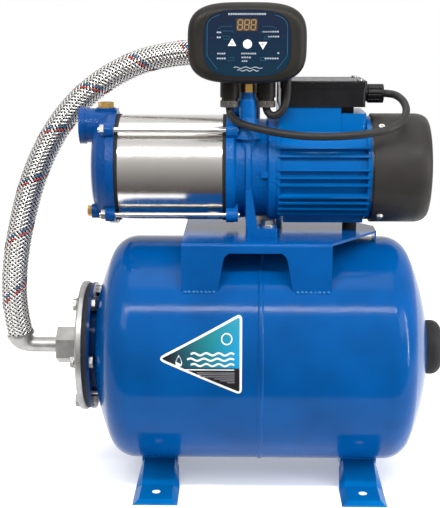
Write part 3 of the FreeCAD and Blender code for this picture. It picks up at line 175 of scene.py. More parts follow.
def tinted(color, factor):
    """A darker or lighter shade of a colour."""
    return tuple(min(1.0, channel * factor) for channel in color)


def enamel(name, color, roughness, lumps, lump_depth, coat=0.07, gloss_ior=1.16):
    """Sprayed enamel: slow colour drift, orange peel and, on castings, the sand texture below."""
    shader = Shader(name, color, roughness, Coat_Weight=coat, Coat_Roughness=0.03, IOR=gloss_ior)
    shader.color(shader.mottled(color, 14.0, 0.86, 1.14))
    shader.roughness(shader.noise(60.0, 3.0), roughness - 0.03, roughness + 0.05)
    if lump_depth:
        shader.bump(shader.noise(lumps, 4.0, 0.6), lump_depth)
    shader.bump(shader.noise(650.0, 1.0), 0.00006)
    return shader


# Painted light: the feet get a lighter copy of the sheet enamel to offset the shade they sit in.
FOOT_BLUE_LIGHTENED = (0.0005, 0.12, 0.37)
HOLE_PAINTED_LIGHT = (0.9, 0.9, 0.9)
HOLE_X = 0.1225
HOLE_Y = 0.1
HOLE_R = 0.0048
WALL_INNER = 0.0001
WALL_OUTER = 0.0003


def foot_enamel_painted_light():
    """Sheet enamel, lightened for the feet's shade, with painted light on the walls of the four bolt holes
    that stands in for the lit floor seen through them.
    """
    shader = enamel("foot_enamel_painted_light", FOOT_BLUE_LIGHTENED, 0.16, 180.0, 0.0001, coat=0.25)
    from_hole = [shader.math("SUBTRACT", shader.math("ABSOLUTE", shader.axis(name)), half)
                 for name, half in (("X", HOLE_X), ("Y", HOLE_Y))]
    squares = [shader.math("MULTIPLY", offset, offset) for offset in from_hole]
    distance = shader.math("SQRT", shader.math("ADD", *squares))
    # Painted light: near white on the hole walls, standing in for the lit floor seen through the holes.
    inside = shader.span(distance, HOLE_R + WALL_OUTER, HOLE_R + WALL_INNER)
    paint = shader.bsdf.inputs["Base Color"].links[0].from_socket
    shader.color(shader.mix(inside, paint, HOLE_PAINTED_LIGHT))
    return shader


def plastic(name, color, roughness, grain=0.00005, grain_scale=1600.0, **sockets):
    """Moulded plastic with a fine spark-eroded grain and slight polish differences."""
    sockets.setdefault("Specular_IOR_Level", 0.28)
    shader = Shader(name, color, roughness, **sockets)
    shader.color(shader.mottled(color, 25.0, 0.85, 1.2))
    shader.roughness(shader.noise(90.0, 4.0), roughness - 0.06, roughness + 0.08)
    shader.bump(shader.noise(grain_scale, 2.0), grain)
    return shader


def metal(name, color, roughness, stretch=(1, 1, 1), lines=900.0, depth=0.00002, patch=0.12):
    """Bare or plated metal: machining lines along one direction and patches of duller plating."""
    shader = Shader(name, color, roughness, 1.0)
    shader.color(shader.mottled(color, 70.0, 1.0 - patch, 1.0 + patch, detail=4.0, low=0.25, high=0.75))
    fine = shader.noise(lines, 3.0, 0.6, shader.stretched(stretch))
    shader.roughness(fine, roughness - 0.06, roughness + 0.1)
    shader.bump(fine, depth)
    return shader


def sleeve_steel():
    """Polished drawn tube: tight lines round the tube and long faint polishing waves."""
    color = (0.6, 0.585, 0.565)
    shader = Shader("stainless_sleeve", color, 0.17, 1.0)
    shader.color(shader.mottled(color, 9.0, 0.94, 1.06))
    lines = shader.noise(260.0, 4.0, 0.6, shader.stretched((8.0, 0.4, 0.4)))
    shader.roughness(lines, 0.12, 0.24)
    shader.bump(lines, 0.000012)
    return shader


PANEL_NAVY = (0.004, 0.014, 0.034)


def panel_film():
    """Printed overlay: navy at the top running to a greener blue below."""
    shader = Shader("panel_film", PANEL_NAVY, 0.36, Specular_IOR_Level=0.12)
    shade = shader.span(shader.axis("Z"), 0.49, 0.57)
    shader.color(shader.ramp(shade, [(0.0, (0.003, 0.02, 0.04)), (0.55, PANEL_NAVY),
                                     (1.0, (0.007, 0.011, 0.029))]))
    shader.bump(shader.noise(2200.0, 1.0), 0.00001)
    return shader


def sticker_film():
    """Printed label: black at the point, teal and bright blue to the right, black again below."""
    shader = Shader("sticker_film", (0.0, 0.2, 0.3), 0.3, Coat_Weight=0.3, Coat_Roughness=0.1,
                    Specular_IOR_Level=0.3)
    along = shader.span(shader.axis("X"), -0.104, -0.026)
    height = shader.axis("Z")
    upper = shader.ramp(along, [(0.0, (0.004, 0.006, 0.012)), (0.3, (0.002, 0.07, 0.1)),
                                (0.62, (0.001, 0.17, 0.22)), (1.0, (0.001, 0.26, 0.5))])
    greener = shader.mix(shader.span(height, 0.185, 0.228, 0.0, 0.6), upper, (0.002, 0.19, 0.17))
    below = shader.span(height, 0.1722, 0.1698)
    shader.color(shader.mix(below, greener, (0.008, 0.006, 0.008)))
    shader.bump(shader.noise(900.0, 1.0), 0.00001)
    return shader


WIRES_PER_STRAND = 5


def braid_strand(name, color, metallic, roughness):
    """A flat bundle of fine wires that run along the strand, with painted shade towards its two edges where
    it passes under its neighbours.
    """
    shader = Shader(name, color, roughness, metallic)
    uv = shader.node("ShaderNodeUVMap", uv_map="strand").outputs["UV"]
    across = shader.axis("Y", uv)
    wires = shader.math("SINE", shader.math("MULTIPLY", across, 2 * math.pi * WIRES_PER_STRAND))
    shader.bump(wires, 0.00002)
    bright = shader.mottled(color, 300.0, 0.85, 1.1)
    # Painted shade: the strand's two edges are darkened where it dips under the crossing strands.
    edge = shader.math("ABSOLUTE", shader.math("SUBTRACT", across, 0.5))
    shader.color(shader.mix(shader.span(edge, 0.34, 0.5), bright, tinted(color, 0.12)))
    return shader


tank_paint = enamel("tank_enamel", (0.0002, 0.066, 0.25), 0.13, 0.0, 0.0, coat=0.09)
# Painted shade and light: the casing gets a darker copy of the cast enamel for its shaded face, the bracket a
# lighter copy of the same enamel.
cast_paint_shaded = enamel("cast_enamel_painted_shade", (0.0002, 0.048, 0.2), 0.15, 330.0, 0.0008, coat=0.16)
bracket_paint_lit = enamel("bracket_enamel_painted_light", (0.0003, 0.082, 0.3), 0.15, 330.0, 0.0008, coat=0.16)
motor_paint = enamel("motor_enamel", (0.0004, 0.094, 0.315), 0.2, 300.0, 0.00014)
sheet_paint = enamel("sheet_enamel", (0.0002, 0.072, 0.275), 0.09, 180.0, 0.00003, gloss_ior=1.2)
# Painted shade: the neck ring gets a darker copy of the tank enamel, standing in for the shade behind the
# flange.
neck_paint_shaded = enamel("neck_enamel_painted_shade", (0.0002, 0.028, 0.12), 0.12, 180.0, 0.00003)
foot_paint_with_light = foot_enamel_painted_light()
# Painted highlight: the weld beads get a lighter copy of the tank enamel so that they read as glints; the
# strong coat is real gloss.
bead_paint_highlight = enamel("bead_enamel_painted_highlight", (0.002, 0.12, 0.36), 0.14, 500.0, 0.0002, coat=0.8)
zinc = metal("zinc_plate", (0.5, 0.49, 0.465), 0.34, lines=500.0, depth=0.00003, patch=0.2)
# Painted shade: a darker copy of the zinc plate for the flange bolts, which sit in the shade behind the
# flange.
zinc_painted_shade = metal("dull_zinc_plate", (0.24, 0.235, 0.225), 0.36, lines=500.0, depth=0.00003, patch=0.2)
cast_zinc = metal("zinc_casting", (0.38, 0.375, 0.36), 0.38, lines=350.0, depth=0.0001, patch=0.2)
steel = metal("machined_steel", (0.45, 0.45, 0.46), 0.3, stretch=(6, 0.5, 0.5))
# Painted shade: the rear shield is near black, standing in for the shaded gap between the motor and the fan
# cover.
gap_shade_steel = metal("steel_painted_gap_shade", (0.07, 0.07, 0.075), 0.45)
rod_steel = metal("rod_stainless", (0.68, 0.66, 0.63), 0.2, stretch=(0.4, 4, 4), depth=0.00001, patch=0.06)
brass = metal("brass", (0.66, 0.42, 0.13), 0.3, lines=700.0, patch=0.15)
copper = metal("copper_winding", (0.6, 0.25, 0.1), 0.35, stretch=(1, 8, 8), lines=300.0, depth=0.0003)
sleeve = sleeve_steel()
rubber = plastic("black_rubber", (0.014, 0.014, 0.015), 0.68, 0.00008, 900.0)
black = plastic("black_plastic", (0.006, 0.006, 0.007), 0.3, Specular_IOR_Level=0.2)
cover_black = plastic("fan_cover_black", (0.026, 0.024, 0.0225), 0.42, 0.00012, 900.0,
                      Specular_IOR_Level=0.14)
gland_black = plastic("gland_black", (0.055, 0.05, 0.045), 0.38, Specular_IOR_Level=0.5)
charcoal = plastic("controller_charcoal", (0.015, 0.0135, 0.0115), 0.42, 0.0001, 1300.0,
                   Specular_IOR_Level=0.16)
white = plastic("white_plastic", (0.78, 0.82, 0.9), 0.42, 0.00002, 900.0)
wet = plastic("glass_filled_plastic", (0.07, 0.07, 0.075), 0.5)
ceramic = plastic("seal_ceramic", (0.7, 0.67, 0.6), 0.25, 0.00001, 900.0)
board = plastic("circuit_board", (0.02, 0.14, 0.06), 0.4, 0.00004, 700.0)
jacket = plastic("cable_jacket", (0.016, 0.015, 0.015), 0.5, 0.00006, 700.0)
display = plastic("display_filter", (0.05, 0.03, 0.015), 0.25, 0.00001, 900.0)
film = panel_film()
label = sticker_film()
wire = braid_strand("braid_wire", (0.74, 0.725, 0.7), 0.95, 0.27)
tracer_red = braid_strand("tracer_red", (0.4, 0.02, 0.012), 0.0, 0.5)
tracer_blue = braid_strand("tracer_blue", (0.01, 0.09, 0.2), 0.0, 0.5)
hose_core = plastic("hose_core", (0.004, 0.004, 0.004), 0.8, Specular_IOR_Level=0.05)

NODE_PAINT = {
    tank_paint: ["tank_shell_left", "tank_shell_right"],
    neck_paint_shaded: ["tank_neck_ring"],
    sheet_paint: ["pump_bridge"],
    foot_paint_with_light: ["foot_left", "foot_right"],
    cast_paint_shaded: ["suction_casing"],
    bracket_paint_lit: ["motor_bracket"],
    motor_paint: ["motor_housing"],
    cast_zinc: ["tank_flange", "hose_elbows", "union_nuts"],
    zinc: ["bracket_bolts", "cover_screws"],
    zinc_painted_shade: ["flange_bolts"],
    rod_steel: ["tie_rods"],
    sleeve: ["pump_sleeve"],
    steel: ["pump_shaft", "impeller_nut", "impeller_spacers", "bearings", "stator_core", "rotor_core"],
    gap_shade_steel: ["rear_shield"],
    brass: ["priming_plug", "drain_plug", "air_valve_body", "air_valve_pin", "pressure_nipple"],
    copper: ["stator_windings"],
    rubber: ["bladder", "sleeve_gaskets", "motor_foot", "air_valve_cap"],
    cover_black: ["fan_cover"],
    black: ["terminal_box", "terminal_lid", "motor_gland", "cooling_fan", "mains_plug"],
    gland_black: ["controller_gland_nuts"],
    charcoal: ["controller_case", "controller_cover"],
    film: ["controller_panel"],
    display: ["controller_display"],
    white: ["button_up", "button_set", "button_down", "terminal_block", "run_capacitor"],
    wet: ["stage_diffusers", "impellers"],
    ceramic: ["seal_seat", "seal_head"],
    board: ["controller_board"],
    label: ["tank_sticker"],
    jacket: ["motor_cable", "mains_cable", "mains_coil"],
    wire: ["braided_hose"],
}
for shader, names in NODE_PAINT.items():
    for name in names:
        slots = NODES[name].material_slots
        if not slots:
            NODES[name].data.materials.append(shader.material)
        for slot in slots:
            slot.material = shader.material


# ---------------------------------------------------------------- making pieces

def add_object(name, data, shader, body="frame"):
    """Links a new piece, paints it and hangs it on a body of the pump."""
    piece = bpy.data.objects.new(name, data)
    bpy.context.scene.collection.objects.link(piece)
    data.materials.append(shader.material)
    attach(piece, body)
    return piece


def mesh_from(name, verts, faces, smooth=False):
    """A mesh from points and faces, shaded smooth or flat."""
    mesh = bpy.data.meshes.new(name)
    mesh.from_pydata([tuple(vert) for vert in verts], [], faces)
    mesh.update()
    for polygon in mesh.polygons:
        polygon.use_smooth = smooth
    return mesh


def route_curve(name, points):
    """One NURBS spline with these control points."""
    curve = bpy.data.curves.new(name, "CURVE")
    curve.dimensions = "3D"
    spline = curve.splines.new("NURBS")
    spline.points.add(len(points) - 1)
    for point, place in zip(spline.points, points):
        point.co = (*place, 1.0)
    spline.order_u = 3
    spline.use_endpoint_u = True
    curve.resolution_u = 16
    return curve


def read_line(curve):
    """The smooth line of a route, as the curve object gives it with no bevel."""
    holder = bpy.data.objects.new("line_reader", curve)
    bpy.context.scene.collection.objects.link(holder)
    bpy.context.view_layer.update()
    mesh = bpy.data.meshes.new_from_object(holder)
    line = [vertex.co.copy() for vertex in mesh.vertices]
    bpy.data.meshes.remove(mesh)
    bpy.data.objects.remove(holder)
    return line


def line_length(line):
    return sum((b - a).length for a, b in zip(line, line[1:]))


def evenly(line, step):
    """Points along a line at an even spacing, with its two ends kept."""
    total = line_length(line)
    count = max(2, round(total / step))
    spots = [line[0].copy()]
    wanted = total / count
    walked = 0.0
    for a, b in zip(line, line[1:]):
        run = (b - a).length
        while walked + run >= wanted * len(spots) and len(spots) < count:
            share = (wanted * len(spots) - walked) / run
            spots.append(a.lerp(b, share))
        walked += run
    spots.append(line[-1].copy())
    return spots


def frames_along(line):
    """A tangent and two sideways directions at each point, carried along without twist."""
    tangents = []
    for index in range(len(line)):
        ahead = line[min(index + 1, len(line) - 1)]
        behind = line[max(index - 1, 0)]
        tangents.append((ahead - behind).normalized())
    side = tangents[0].cross(Vector((0, 0, 1))).normalized()
    made = []
    for tangent in tangents:
        side = (side - tangent * side.dot(tangent)).normalized()
        made.append((tangent, side, tangent.cross(side).normalized()))
    return made


def tube_mesh(name, line, radius, sides):
    """A closed round tube along a line."""
    verts = []
    faces = []
    for point, (_, side, up) in zip(line, frames_along(line)):
        for index in range(sides):
            angle = 2 * math.pi * index / sides
            verts.append(point + (side * math.cos(angle) + up * math.sin(angle)) * radius)
    for ring in range(len(line) - 1):
        for index in range(sides):
            follow = (index + 1) % sides
            a = ring * sides
            faces.append((a + index, a + sides + index, a + sides + follow, a + follow))
    faces.append(tuple(range(sides)))
    last = (len(line) - 1) * sides
    faces.append(tuple(last + index for index in reversed(range(sides))))
    return mesh_from(name, verts, faces, smooth=True)


# ---------------------------------------------------------------- hose

HOSE_ROUTE = [
    (-0.041, 0.0405, 0.514), (-0.066, 0.056, 0.5155), (-0.104, 0.074, 0.513), (-0.152, 0.082, 0.503),
    (-0.204, 0.077, 0.476), (-0.247, 0.063, 0.434), (-0.278, 0.043, 0.376), (-0.295, 0.022, 0.312),
    (-0.3035, 0.006, 0.254), (-0.304, 0.0, 0.204), (-0.2975, 0.0, 0.172),
]
BRAID_PITCH = 0.07
BRAID_CARRIERS = 14
BRAID_STEP = 0.0011
STRAND_HALF = 0.0012
STRAND_LIFT = 0.0006
STRAND_R = HOSE_R - 0.0008
CORE_R = HOSE_R - 0.0017
CORE_STEP = 0.004
CORE_SIDES = 28

# A strand's cross-section: place across it in half widths, and how far it stands out.
CROWN = ((-1.0, -0.0006), (-0.5, 0.0), (0.5, 0.0), (1.0, -0.0006))


def braid_strands(name, spots, frames, shader, chosen):
    """Woven ribbons round the hose. Each entry of chosen is (direction, carrier number)."""
    step = line_length(spots) / (len(spots) - 1)
    lay = math.cos(math.atan2(2 * math.pi * HOSE_R, BRAID_PITCH))
    half_angle = STRAND_HALF / lay / HOSE_R
    columns = len(CROWN)
    verts = []
    faces = []
    uvs = []
    for direction, carrier in chosen:
        start = len(verts)
        for index, (spot, (_, side, up)) in enumerate(zip(spots, frames)):
            travelled = index * step
            phase = 2 * carrier + direction * 2 * BRAID_CARRIERS * travelled / BRAID_PITCH
            turn = 2 * math.pi * (carrier / BRAID_CARRIERS + direction * travelled / BRAID_PITCH)
            for offset, rise in CROWN:
                angle = turn + offset * half_angle
                spot_phase = phase + BRAID_CARRIERS * offset * half_angle / (2 * math.pi)
                weave = direction * math.sin(math.pi / 2 * spot_phase + math.pi / 4)
                outward = side * math.cos(angle) + up * math.sin(angle)
                verts.append(spot + outward * (STRAND_R + STRAND_LIFT * weave + rise))
                uvs.append((travelled, (offset + 1) / 2))
        for row in range(len(spots) - 1):
            for column in range(columns - 1):
                a = start + row * columns + column
                quad = (a, a + 1, a + columns + 1, a + columns)
                faces.append(quad if direction > 0 else tuple(reversed(quad)))
    mesh = mesh_from(name, verts, faces, smooth=True)
    layer = mesh.uv_layers.new(name="strand")
    for loop in mesh.loops:
        layer.data[loop.index].uv = uvs[loop.vertex_index]
    return add_object(name, mesh, shader)


hose_line = evenly(read_line(route_curve("hose_route", HOSE_ROUTE)), BRAID_STEP)
hose_frames = frames_along(hose_line)
core_line = evenly(hose_line, CORE_STEP)
core_mesh = tube_mesh("hose_tube", core_line, CORE_R, CORE_SIDES)
core = add_object("hose_tube", core_mesh, hose_core)
tracers = {(1, 11): tracer_red, (1, 12): tracer_blue}
plain = [(direction, carrier) for direction in (1, -1) for carrier in range(BRAID_CARRIERS)
         if (direction, carrier) not in tracers]
braid = [braid_strands("hose_braid", hose_line, hose_frames, wire, plain)]
for number, (key, shader) in enumerate(tracers.items()):
    braid.append(braid_strands("hose_tracer_%d" % number, hose_line, hose_frames, shader, [key]))
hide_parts("braided_hose")


# ---------------------------------------------------------------- cables

MOTOR_ROUTE = [
    (0.1445, 0.0, 0.469), (0.152, -0.001, 0.469), (0.1605, -0.009, 0.467), (0.1665, -0.024, 0.461),
    (0.1675, -0.042, 0.4525), (0.162, -0.058, 0.443), (0.150, -0.071, 0.4355), (0.129, -0.080, 0.4305),
    (0.098, -0.085, 0.4275), (0.062, -0.086, 0.4265), (0.030, -0.084, 0.4285), (0.002, -0.076, 0.433),
    (-0.017, -0.0675, 0.437), (-0.029, -0.0575, 0.441), (-0.0355, -0.049, 0.4465),
    (-0.0368, -0.0453, 0.453), (-0.0368, -0.045, 0.4564),
]
MAINS_ROUTE = [
    (0.0052, -0.045, 0.4564), (0.006, -0.0453, 0.4515), (0.012, -0.048, 0.446), (0.021, -0.050, 0.449),
    (0.0275, -0.050, 0.459), (0.0295, -0.0495, 0.474), (0.0295, -0.0475, 0.492), (0.0295, -0.042, 0.512),
    (0.029, -0.028, 0.534), (0.0275, -0.002, 0.548), (0.026, 0.030, 0.545), (0.025, 0.060, 0.524),
    (0.025, 0.084, 0.486), (0.0255, 0.103, 0.438), (0.026, 0.122, 0.386), (0.0265, 0.140, 0.332),
    (0.027, 0.154, 0.276), (0.028, 0.163, 0.220), (0.029, 0.167, 0.166), (0.031, 0.169, 0.116),
    (0.034, 0.172, 0.076), (0.0385, 0.178, 0.044), (0.046, 0.191, 0.017), (0.053, 0.211, 0.005),
]
COIL_X = 0.0
COIL_Y = 0.232
COIL_R = 0.054
COIL_TURNS = 1.25
COIL_PITCH = 0.0112
COIL_POINTS_PER_TURN = 16
PLUG_Y = 0.285
PLUG_Z = CABLE_R + COIL_TURNS * COIL_PITCH


def coil_points():
    """The spare cable's turns on the floor, each clear above the last."""
    count = round(COIL_TURNS * COIL_POINTS_PER_TURN)
    points = []
    for index in range(count + 1):
        turn = index / COIL_POINTS_PER_TURN
        angle = 2 * math.pi * turn
        points.append((COIL_X + COIL_R * math.cos(angle), COIL_Y + COIL_R * math.sin(angle),
                       CABLE_R + COIL_PITCH * turn))
    return points


def cable(name, points, nodes):
    """A round cable along a route, in place of the CAD nodes of the same run."""
    curve = route_curve(name, points)
    length = line_length(read_line(curve))
    curve.bevel_depth = CABLE_R
    curve.bevel_resolution = 5
    curve.use_fill_caps = True
    piece = add_object(name, curve, jacket)
    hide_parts(*nodes)
    return piece


cable("motor_lead", MOTOR_ROUTE, ["motor_cable"])
plug_lead = [(x, PLUG_Y, PLUG_Z) for x in (-0.012, -0.022, -0.032)]
cable("mains_lead", MAINS_ROUTE + coil_points() + plug_lead, ["mains_cable", "mains_coil"])


# ---------------------------------------------------------------- controller panel print

PRINT_GAP = 0.00005
KEY_PRINT_GAP = 0.00003
INK_THICKNESS = 0.00006
BUTTON_Z = 0.5291
panel_low, panel_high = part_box("controller_panel")
PANEL_FACE = panel_low.y - PRINT_GAP
PANEL_X = (panel_low.x + panel_high.x) / 2
PANEL_Z = (panel_low.z + panel_high.z) / 2

print_cyan = plastic("print_cyan", (0.01, 0.08, 0.12), 0.4, 0.00001, 900.0)
print_white = plastic("print_white", (0.27, 0.31, 0.35), 0.4, 0.00001, 900.0)
print_red = plastic("print_red", (0.04, 0.007, 0.012), 0.4, 0.00001, 900.0)
segment_amber = plastic("segment_amber", (0.22, 0.15, 0.075), 0.4, 0.00001, 900.0)
print_dark = plastic("print_dark", (0.02, 0.03, 0.06), 0.4, 0.00001, 900.0)
print_grey = plastic("print_grey", (0.5, 0.55, 0.62), 0.4, 0.00001, 900.0)


def circle(centre, radius, count):
    """Evenly spaced (x, z) points on a circle."""
    angles = [2 * math.pi * index / count for index in range(count)]
    return [(centre[0] + radius * math.cos(angle), centre[1] + radius * math.sin(angle))
            for angle in angles]


class Print:
    """Collects flat printed shapes that lie on one face looking to -Y."""

    def __init__(self, face_y):
        self.face_y = face_y
        self.verts = []
        self.faces = []

    def polygon(self, outline):
        """An outline of (x, z) points, anticlockwise as seen from the front."""
        first = len(self.verts)
        count = len(outline)
        for depth in (0.0, INK_THICKNESS):
            for x, z in outline:
                self.verts.append((x, self.face_y - depth, z))
        self.faces.append(tuple(first + count + index for index in range(count)))
        self.faces.append(tuple(first + index for index in reversed(range(count))))
        for index in range(count):
            follow = (index + 1) % count
            self.faces.append((first + index, first + follow,
                               first + count + follow, first + count + index))

    def bar(self, start, end, width):
        a = Vector(start)
        b = Vector(end)
        across = (b - a).normalized()
        across = Vector((-across.y, across.x)) * width / 2
        self.polygon([a - across, b - across, b + across, a + across])

    def line(self, points, width):
        for start, end in zip(points, points[1:]):
            self.bar(start, end, width)

    def finish(self, name, shader, body="frame"):
        return add_object(name, mesh_from(name, self.verts, self.faces), shader, body)


def panel_point(x_mm, z_mm):
    return (PANEL_X + x_mm * MM, PANEL_Z + z_mm * MM)


def both_sides(points_mm):
    """Panel points given for the left side, and the same for the right."""
    return [[panel_point(sign * x, z) for x, z in points_mm] for sign in (1, -1)]


def panel_border():
    """Thin frame line: straight sides, sloping lower corners and a shallow arch above."""
    art = Print(PANEL_FACE)
    side = [(-30.0, 30.6), (-35.0, 29.2), (-39.5, 27.0), (-42.6, 23.6), (-44.2, 19.5), (-44.4, -12.5),
            (-42.6, -16.0), (-33.0, -28.2)]
    for points in both_sides(side):
        art.line(points, 0.55 * MM)
    return art.finish("panel_border", print_cyan)


def panel_boxes():
    """Fainter brackets that lead from the legends to the display."""
    art = Print(PANEL_FACE)
    brackets = [[(-32.0, 15.5), (-28.0, 18.4), (-16.5, 18.4)],
                [(-27.5, 13.2), (-16.0, 13.2), (-14.6, 11.2)],
                [(-28.0, 7.8), (-19.5, 7.8), (-18.6, 4.6), (-26.0, 4.6)],
                [(-20.0, -15.5), (-14.6, -15.5), (-14.6, -18.8), (-22.0, -18.8)]]
    for bracket in brackets:
        for points in both_sides(bracket):
            art.line(points, 0.4 * MM)
    return art.finish("panel_boxes", print_cyan)


BAR_STEP_MM = 2.6
BAR_GAP_MM = 0.6


def bar_row(art, start_mm, z_mm, length_mm, height_mm):
    """A row of short plain bars in place of one legend."""
    pieces = max(1, round(length_mm / BAR_STEP_MM))
    size = length_mm / pieces
    for index in range(pieces):
        start = start_mm + index * size
        art.bar(panel_point(start, z_mm), panel_point(start + size - BAR_GAP_MM, z_mm), height_mm * MM)


def panel_marks():
    """Plain bars where the real panel has its legends. Each row is (left end, height, length) in mm."""
    art = Print(PANEL_FACE)
    rows = [(-33.5, 11.8, 5.2), (-33.5, 6.3, 4.8), (-33.2, -11.2, 9.6), (-33.5, -16.5, 10.4),
            (17.0, 12.6, 18.2), (23.0, 7.3, 12.6), (33.4, -10.7, 2.6), (19.4, -16.5, 15.8),
            (-6.6, -11.2, 17.0), (-6.2, -15.4, 11.0), (-5.8, -19.4, 6.6)]
    for start, z, length in rows:
        bar_row(art, start, z, length, 1.7)
    bar_row(art, -21.0, 31.6, 42.0, 2.0)
    return art.finish("panel_marks", print_white)


def wave_line(x0, x1, z, rise, bends, steps=28):
    """Points of a level wave."""
    return [(x0 + (x1 - x0) * index / steps, z + rise * math.sin(2 * math.pi * bends * index / steps))
            for index in range(steps + 1)]


def panel_emblem():
    """Two plain waves low on the panel."""
    art = Print(PANEL_FACE)
    for x0, x1, z in ((-15.0, 17.0, -26.6), (-11.0, 13.0, -29.6)):
        art.line([panel_point(x, z) for x, z in wave_line(x0, x1, z, 0.8, 3)], 0.9 * MM)
    return art.finish("panel_emblem", print_white)


def panel_lamps():
    """Small round lamps beside the legends."""
    art = Print(PANEL_FACE)
    for x, z in ((-39.3, 5.8), (-39.3, -10.7), (39.8, 7.3), (39.5, -10.2), (35.0, -20.4), (0.8, 6.6)):
        art.polygon(circle(panel_point(x, z), 0.8 * MM, 14))
    return art.finish("panel_lamps", print_red)


def button_marks():
    """A small dark triangle on each of the two arrow buttons and a grey ring on the round button."""
    marks = (("button_up", "up_key", 1, 0.3), ("button_down", "down_key", -1, -0.3))
    for node, body, sign, shift in marks:
        low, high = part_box(node)
        x = (low.x + high.x) / 2
        z = BUTTON_Z + shift * MM
        art = Print(low.y - KEY_PRINT_GAP)
        corners = [(-1.2, -0.9), (1.2, -0.9), (0.0, 1.3)]
        art.polygon([(x + u * sign * MM, z + v * sign * MM) for u, v in corners])
        art.finish(node + "_mark", print_dark, body)
    low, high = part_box("button_set")
    ring = circle(((low.x + high.x) / 2, BUTTON_Z), 2.6 * MM, 12)
    art = Print(low.y - KEY_PRINT_GAP)
    art.line(ring + ring[:1], 0.35 * MM)
    art.finish("button_set_mark", print_grey, "set_key")


DIGIT_W = 5.0 * MM
DIGIT_H = 10.6 * MM
DIGIT_PITCH = 7.3 * MM
DIGIT_LEAN = 0.08
SEGMENT_W = 1.25 * MM
SEGMENT_GAP = 0.35 * MM


def seven_segments(art, x, z):
    """One figure with all its segments lit, centred at x and z."""

    def at(u, v):
        return (x + u * DIGIT_W / 2 + DIGIT_LEAN * v * DIGIT_H / 2, z + v * DIGIT_H / 2)

    inset = SEGMENT_GAP / DIGIT_W * 2
    for v in (-1, 0, 1):
        art.bar(at(-1 + inset, v), at(1 - inset, v), SEGMENT_W)
    rise = SEGMENT_GAP / DIGIT_H * 2
    for u in (-1, 1):
        art.bar(at(u, -1 + rise), at(u, -rise), SEGMENT_W)
        art.bar(at(u, rise), at(u, 1 - rise), SEGMENT_W)


def display_digits():
    """Three figures side by side in the display's window."""
    low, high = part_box("controller_display")
    art = Print(low.y - KEY_PRINT_GAP)
    for digit in (-1, 0, 1):
        seven_segments(art, (low.x + high.x) / 2 + digit * DIGIT_PITCH, (low.z + high.z) / 2)
    return art.finish("display_digits", segment_amber)


panel_border()
panel_boxes()
panel_marks()
button_marks()
panel_emblem()
panel_lamps()
display_digits()


# ---------------------------------------------------------------- tank sticker print

STICKER_LIFT = 0.00045
STICKER_CORNERS = [(-0.1195, 0.1810), (-0.0210, 0.1385), (-0.0210, 0.2310)]
RIBBON_STEP = 0.004
ROUND_POINTS = 28


def on_tank(x, z):
    """A point just over the label on the tank's front, from its x and height."""
    reach = TANK_R + STICKER_LIFT
    return Vector((x, -math.sqrt(reach ** 2 - (z - TANK_Z) ** 2), z))


def tank_ribbon(name, points, width, shader, closed=False):
    """A flat printed line that follows the tank."""
    loop = list(points) + ([points[0]] if closed else [])
    dense = []
    for (x0, z0), (x1, z1) in zip(loop, loop[1:]):
        steps = max(1, int(math.hypot(x1 - x0, z1 - z0) / RIBBON_STEP))
        for index in range(steps):
            dense.append((x0 + (x1 - x0) * index / steps, z0 + (z1 - z0) * index / steps))
    dense.append(loop[-1])
    verts = []
    faces = []
    for index, (x, z) in enumerate(dense):
        ahead = dense[min(index + 1, len(dense) - 1)]
        behind = dense[max(index - 1, 0)]
        if closed and index in (0, len(dense) - 1):
            ahead, behind = dense[1], dense[-2]
        run = Vector((ahead[0] - behind[0], ahead[1] - behind[1])).normalized()
        across = Vector((-run.y, run.x)) * width / 2
        verts.append(on_tank(x + across.x, z + across.y))
        verts.append(on_tank(x - across.x, z - across.y))
    for index in range(len(dense) - 1):
        a = 2 * index
        faces.append((a, a + 1, a + 3, a + 2))
    return add_object(name, mesh_from(name, verts, faces), shader)


def rounded_triangle(corners, radius, steps=8):
    """The outline of a triangle whose corners are replaced by smooth curves."""
    outline = []
    count = len(corners)
    for index, corner in enumerate(corners):
        here = Vector(corner)
        before = (Vector(corners[index - 1]) - here).normalized()
        after = (Vector(corners[(index + 1) % count]) - here).normalized()
        reach = radius / math.tan(before.angle(after) / 2)
        start = here + before * reach
        end = here + after * reach
        for step in range(steps + 1):
            share = step / steps
            a = start.lerp(here, share)
            b = here.lerp(end, share)
            point = a.lerp(b, share)
            outline.append((point.x, point.y))
    return outline


def inset_triangle(corners, inset):
    """The triangle whose sides lie a set distance inside those of another."""
    a, b, c = [Vector(corner) for corner in corners]
    sides = [(b - c).length, (c - a).length, (a - b).length]
    centre = (a * sides[0] + b * sides[1] + c * sides[2]) / sum(sides)
    run_b = b - a
    run_c = c - a
    in_radius = abs(run_b.x * run_c.y - run_b.y * run_c.x) / sum(sides)
    share = 1 - inset / in_radius
    return [tuple(centre + (corner - centre) * share) for corner in (a, b, c)]


print_border = plastic("label_white", (0.7, 0.73, 0.75), 0.35, 0.00001, 900.0)
print_small = plastic("label_small_print", (0.2, 0.2, 0.22), 0.35, 0.00001, 900.0)
BORDER_INSET = 0.0016
BORDER_CORNER_R = 0.0036
BORDER_W = 0.0026
border_line = rounded_triangle(inset_triangle(STICKER_CORNERS, BORDER_INSET), BORDER_CORNER_R)
tank_ribbon("sticker_border", border_line, BORDER_W, print_border, closed=True)
tank_ribbon("sticker_rule", [(-0.0870, 0.1690), (-0.0300, 0.1690)], 0.0012, print_border)

# Small print: the height and left end of each line. They share one right end.
SMALL_PRINT = ((0.1655, -0.0720), (0.1634, -0.0725), (0.1610, -0.0680), (0.1586, -0.0530),
               (0.1564, -0.0460), (0.1542, -0.0380))
SMALL_PRINT_END = -0.0295
for number, (z, start) in enumerate(SMALL_PRINT):
    tank_ribbon("sticker_print_%d" % number, [(start, z), (SMALL_PRINT_END, z)], 0.0010, print_small)

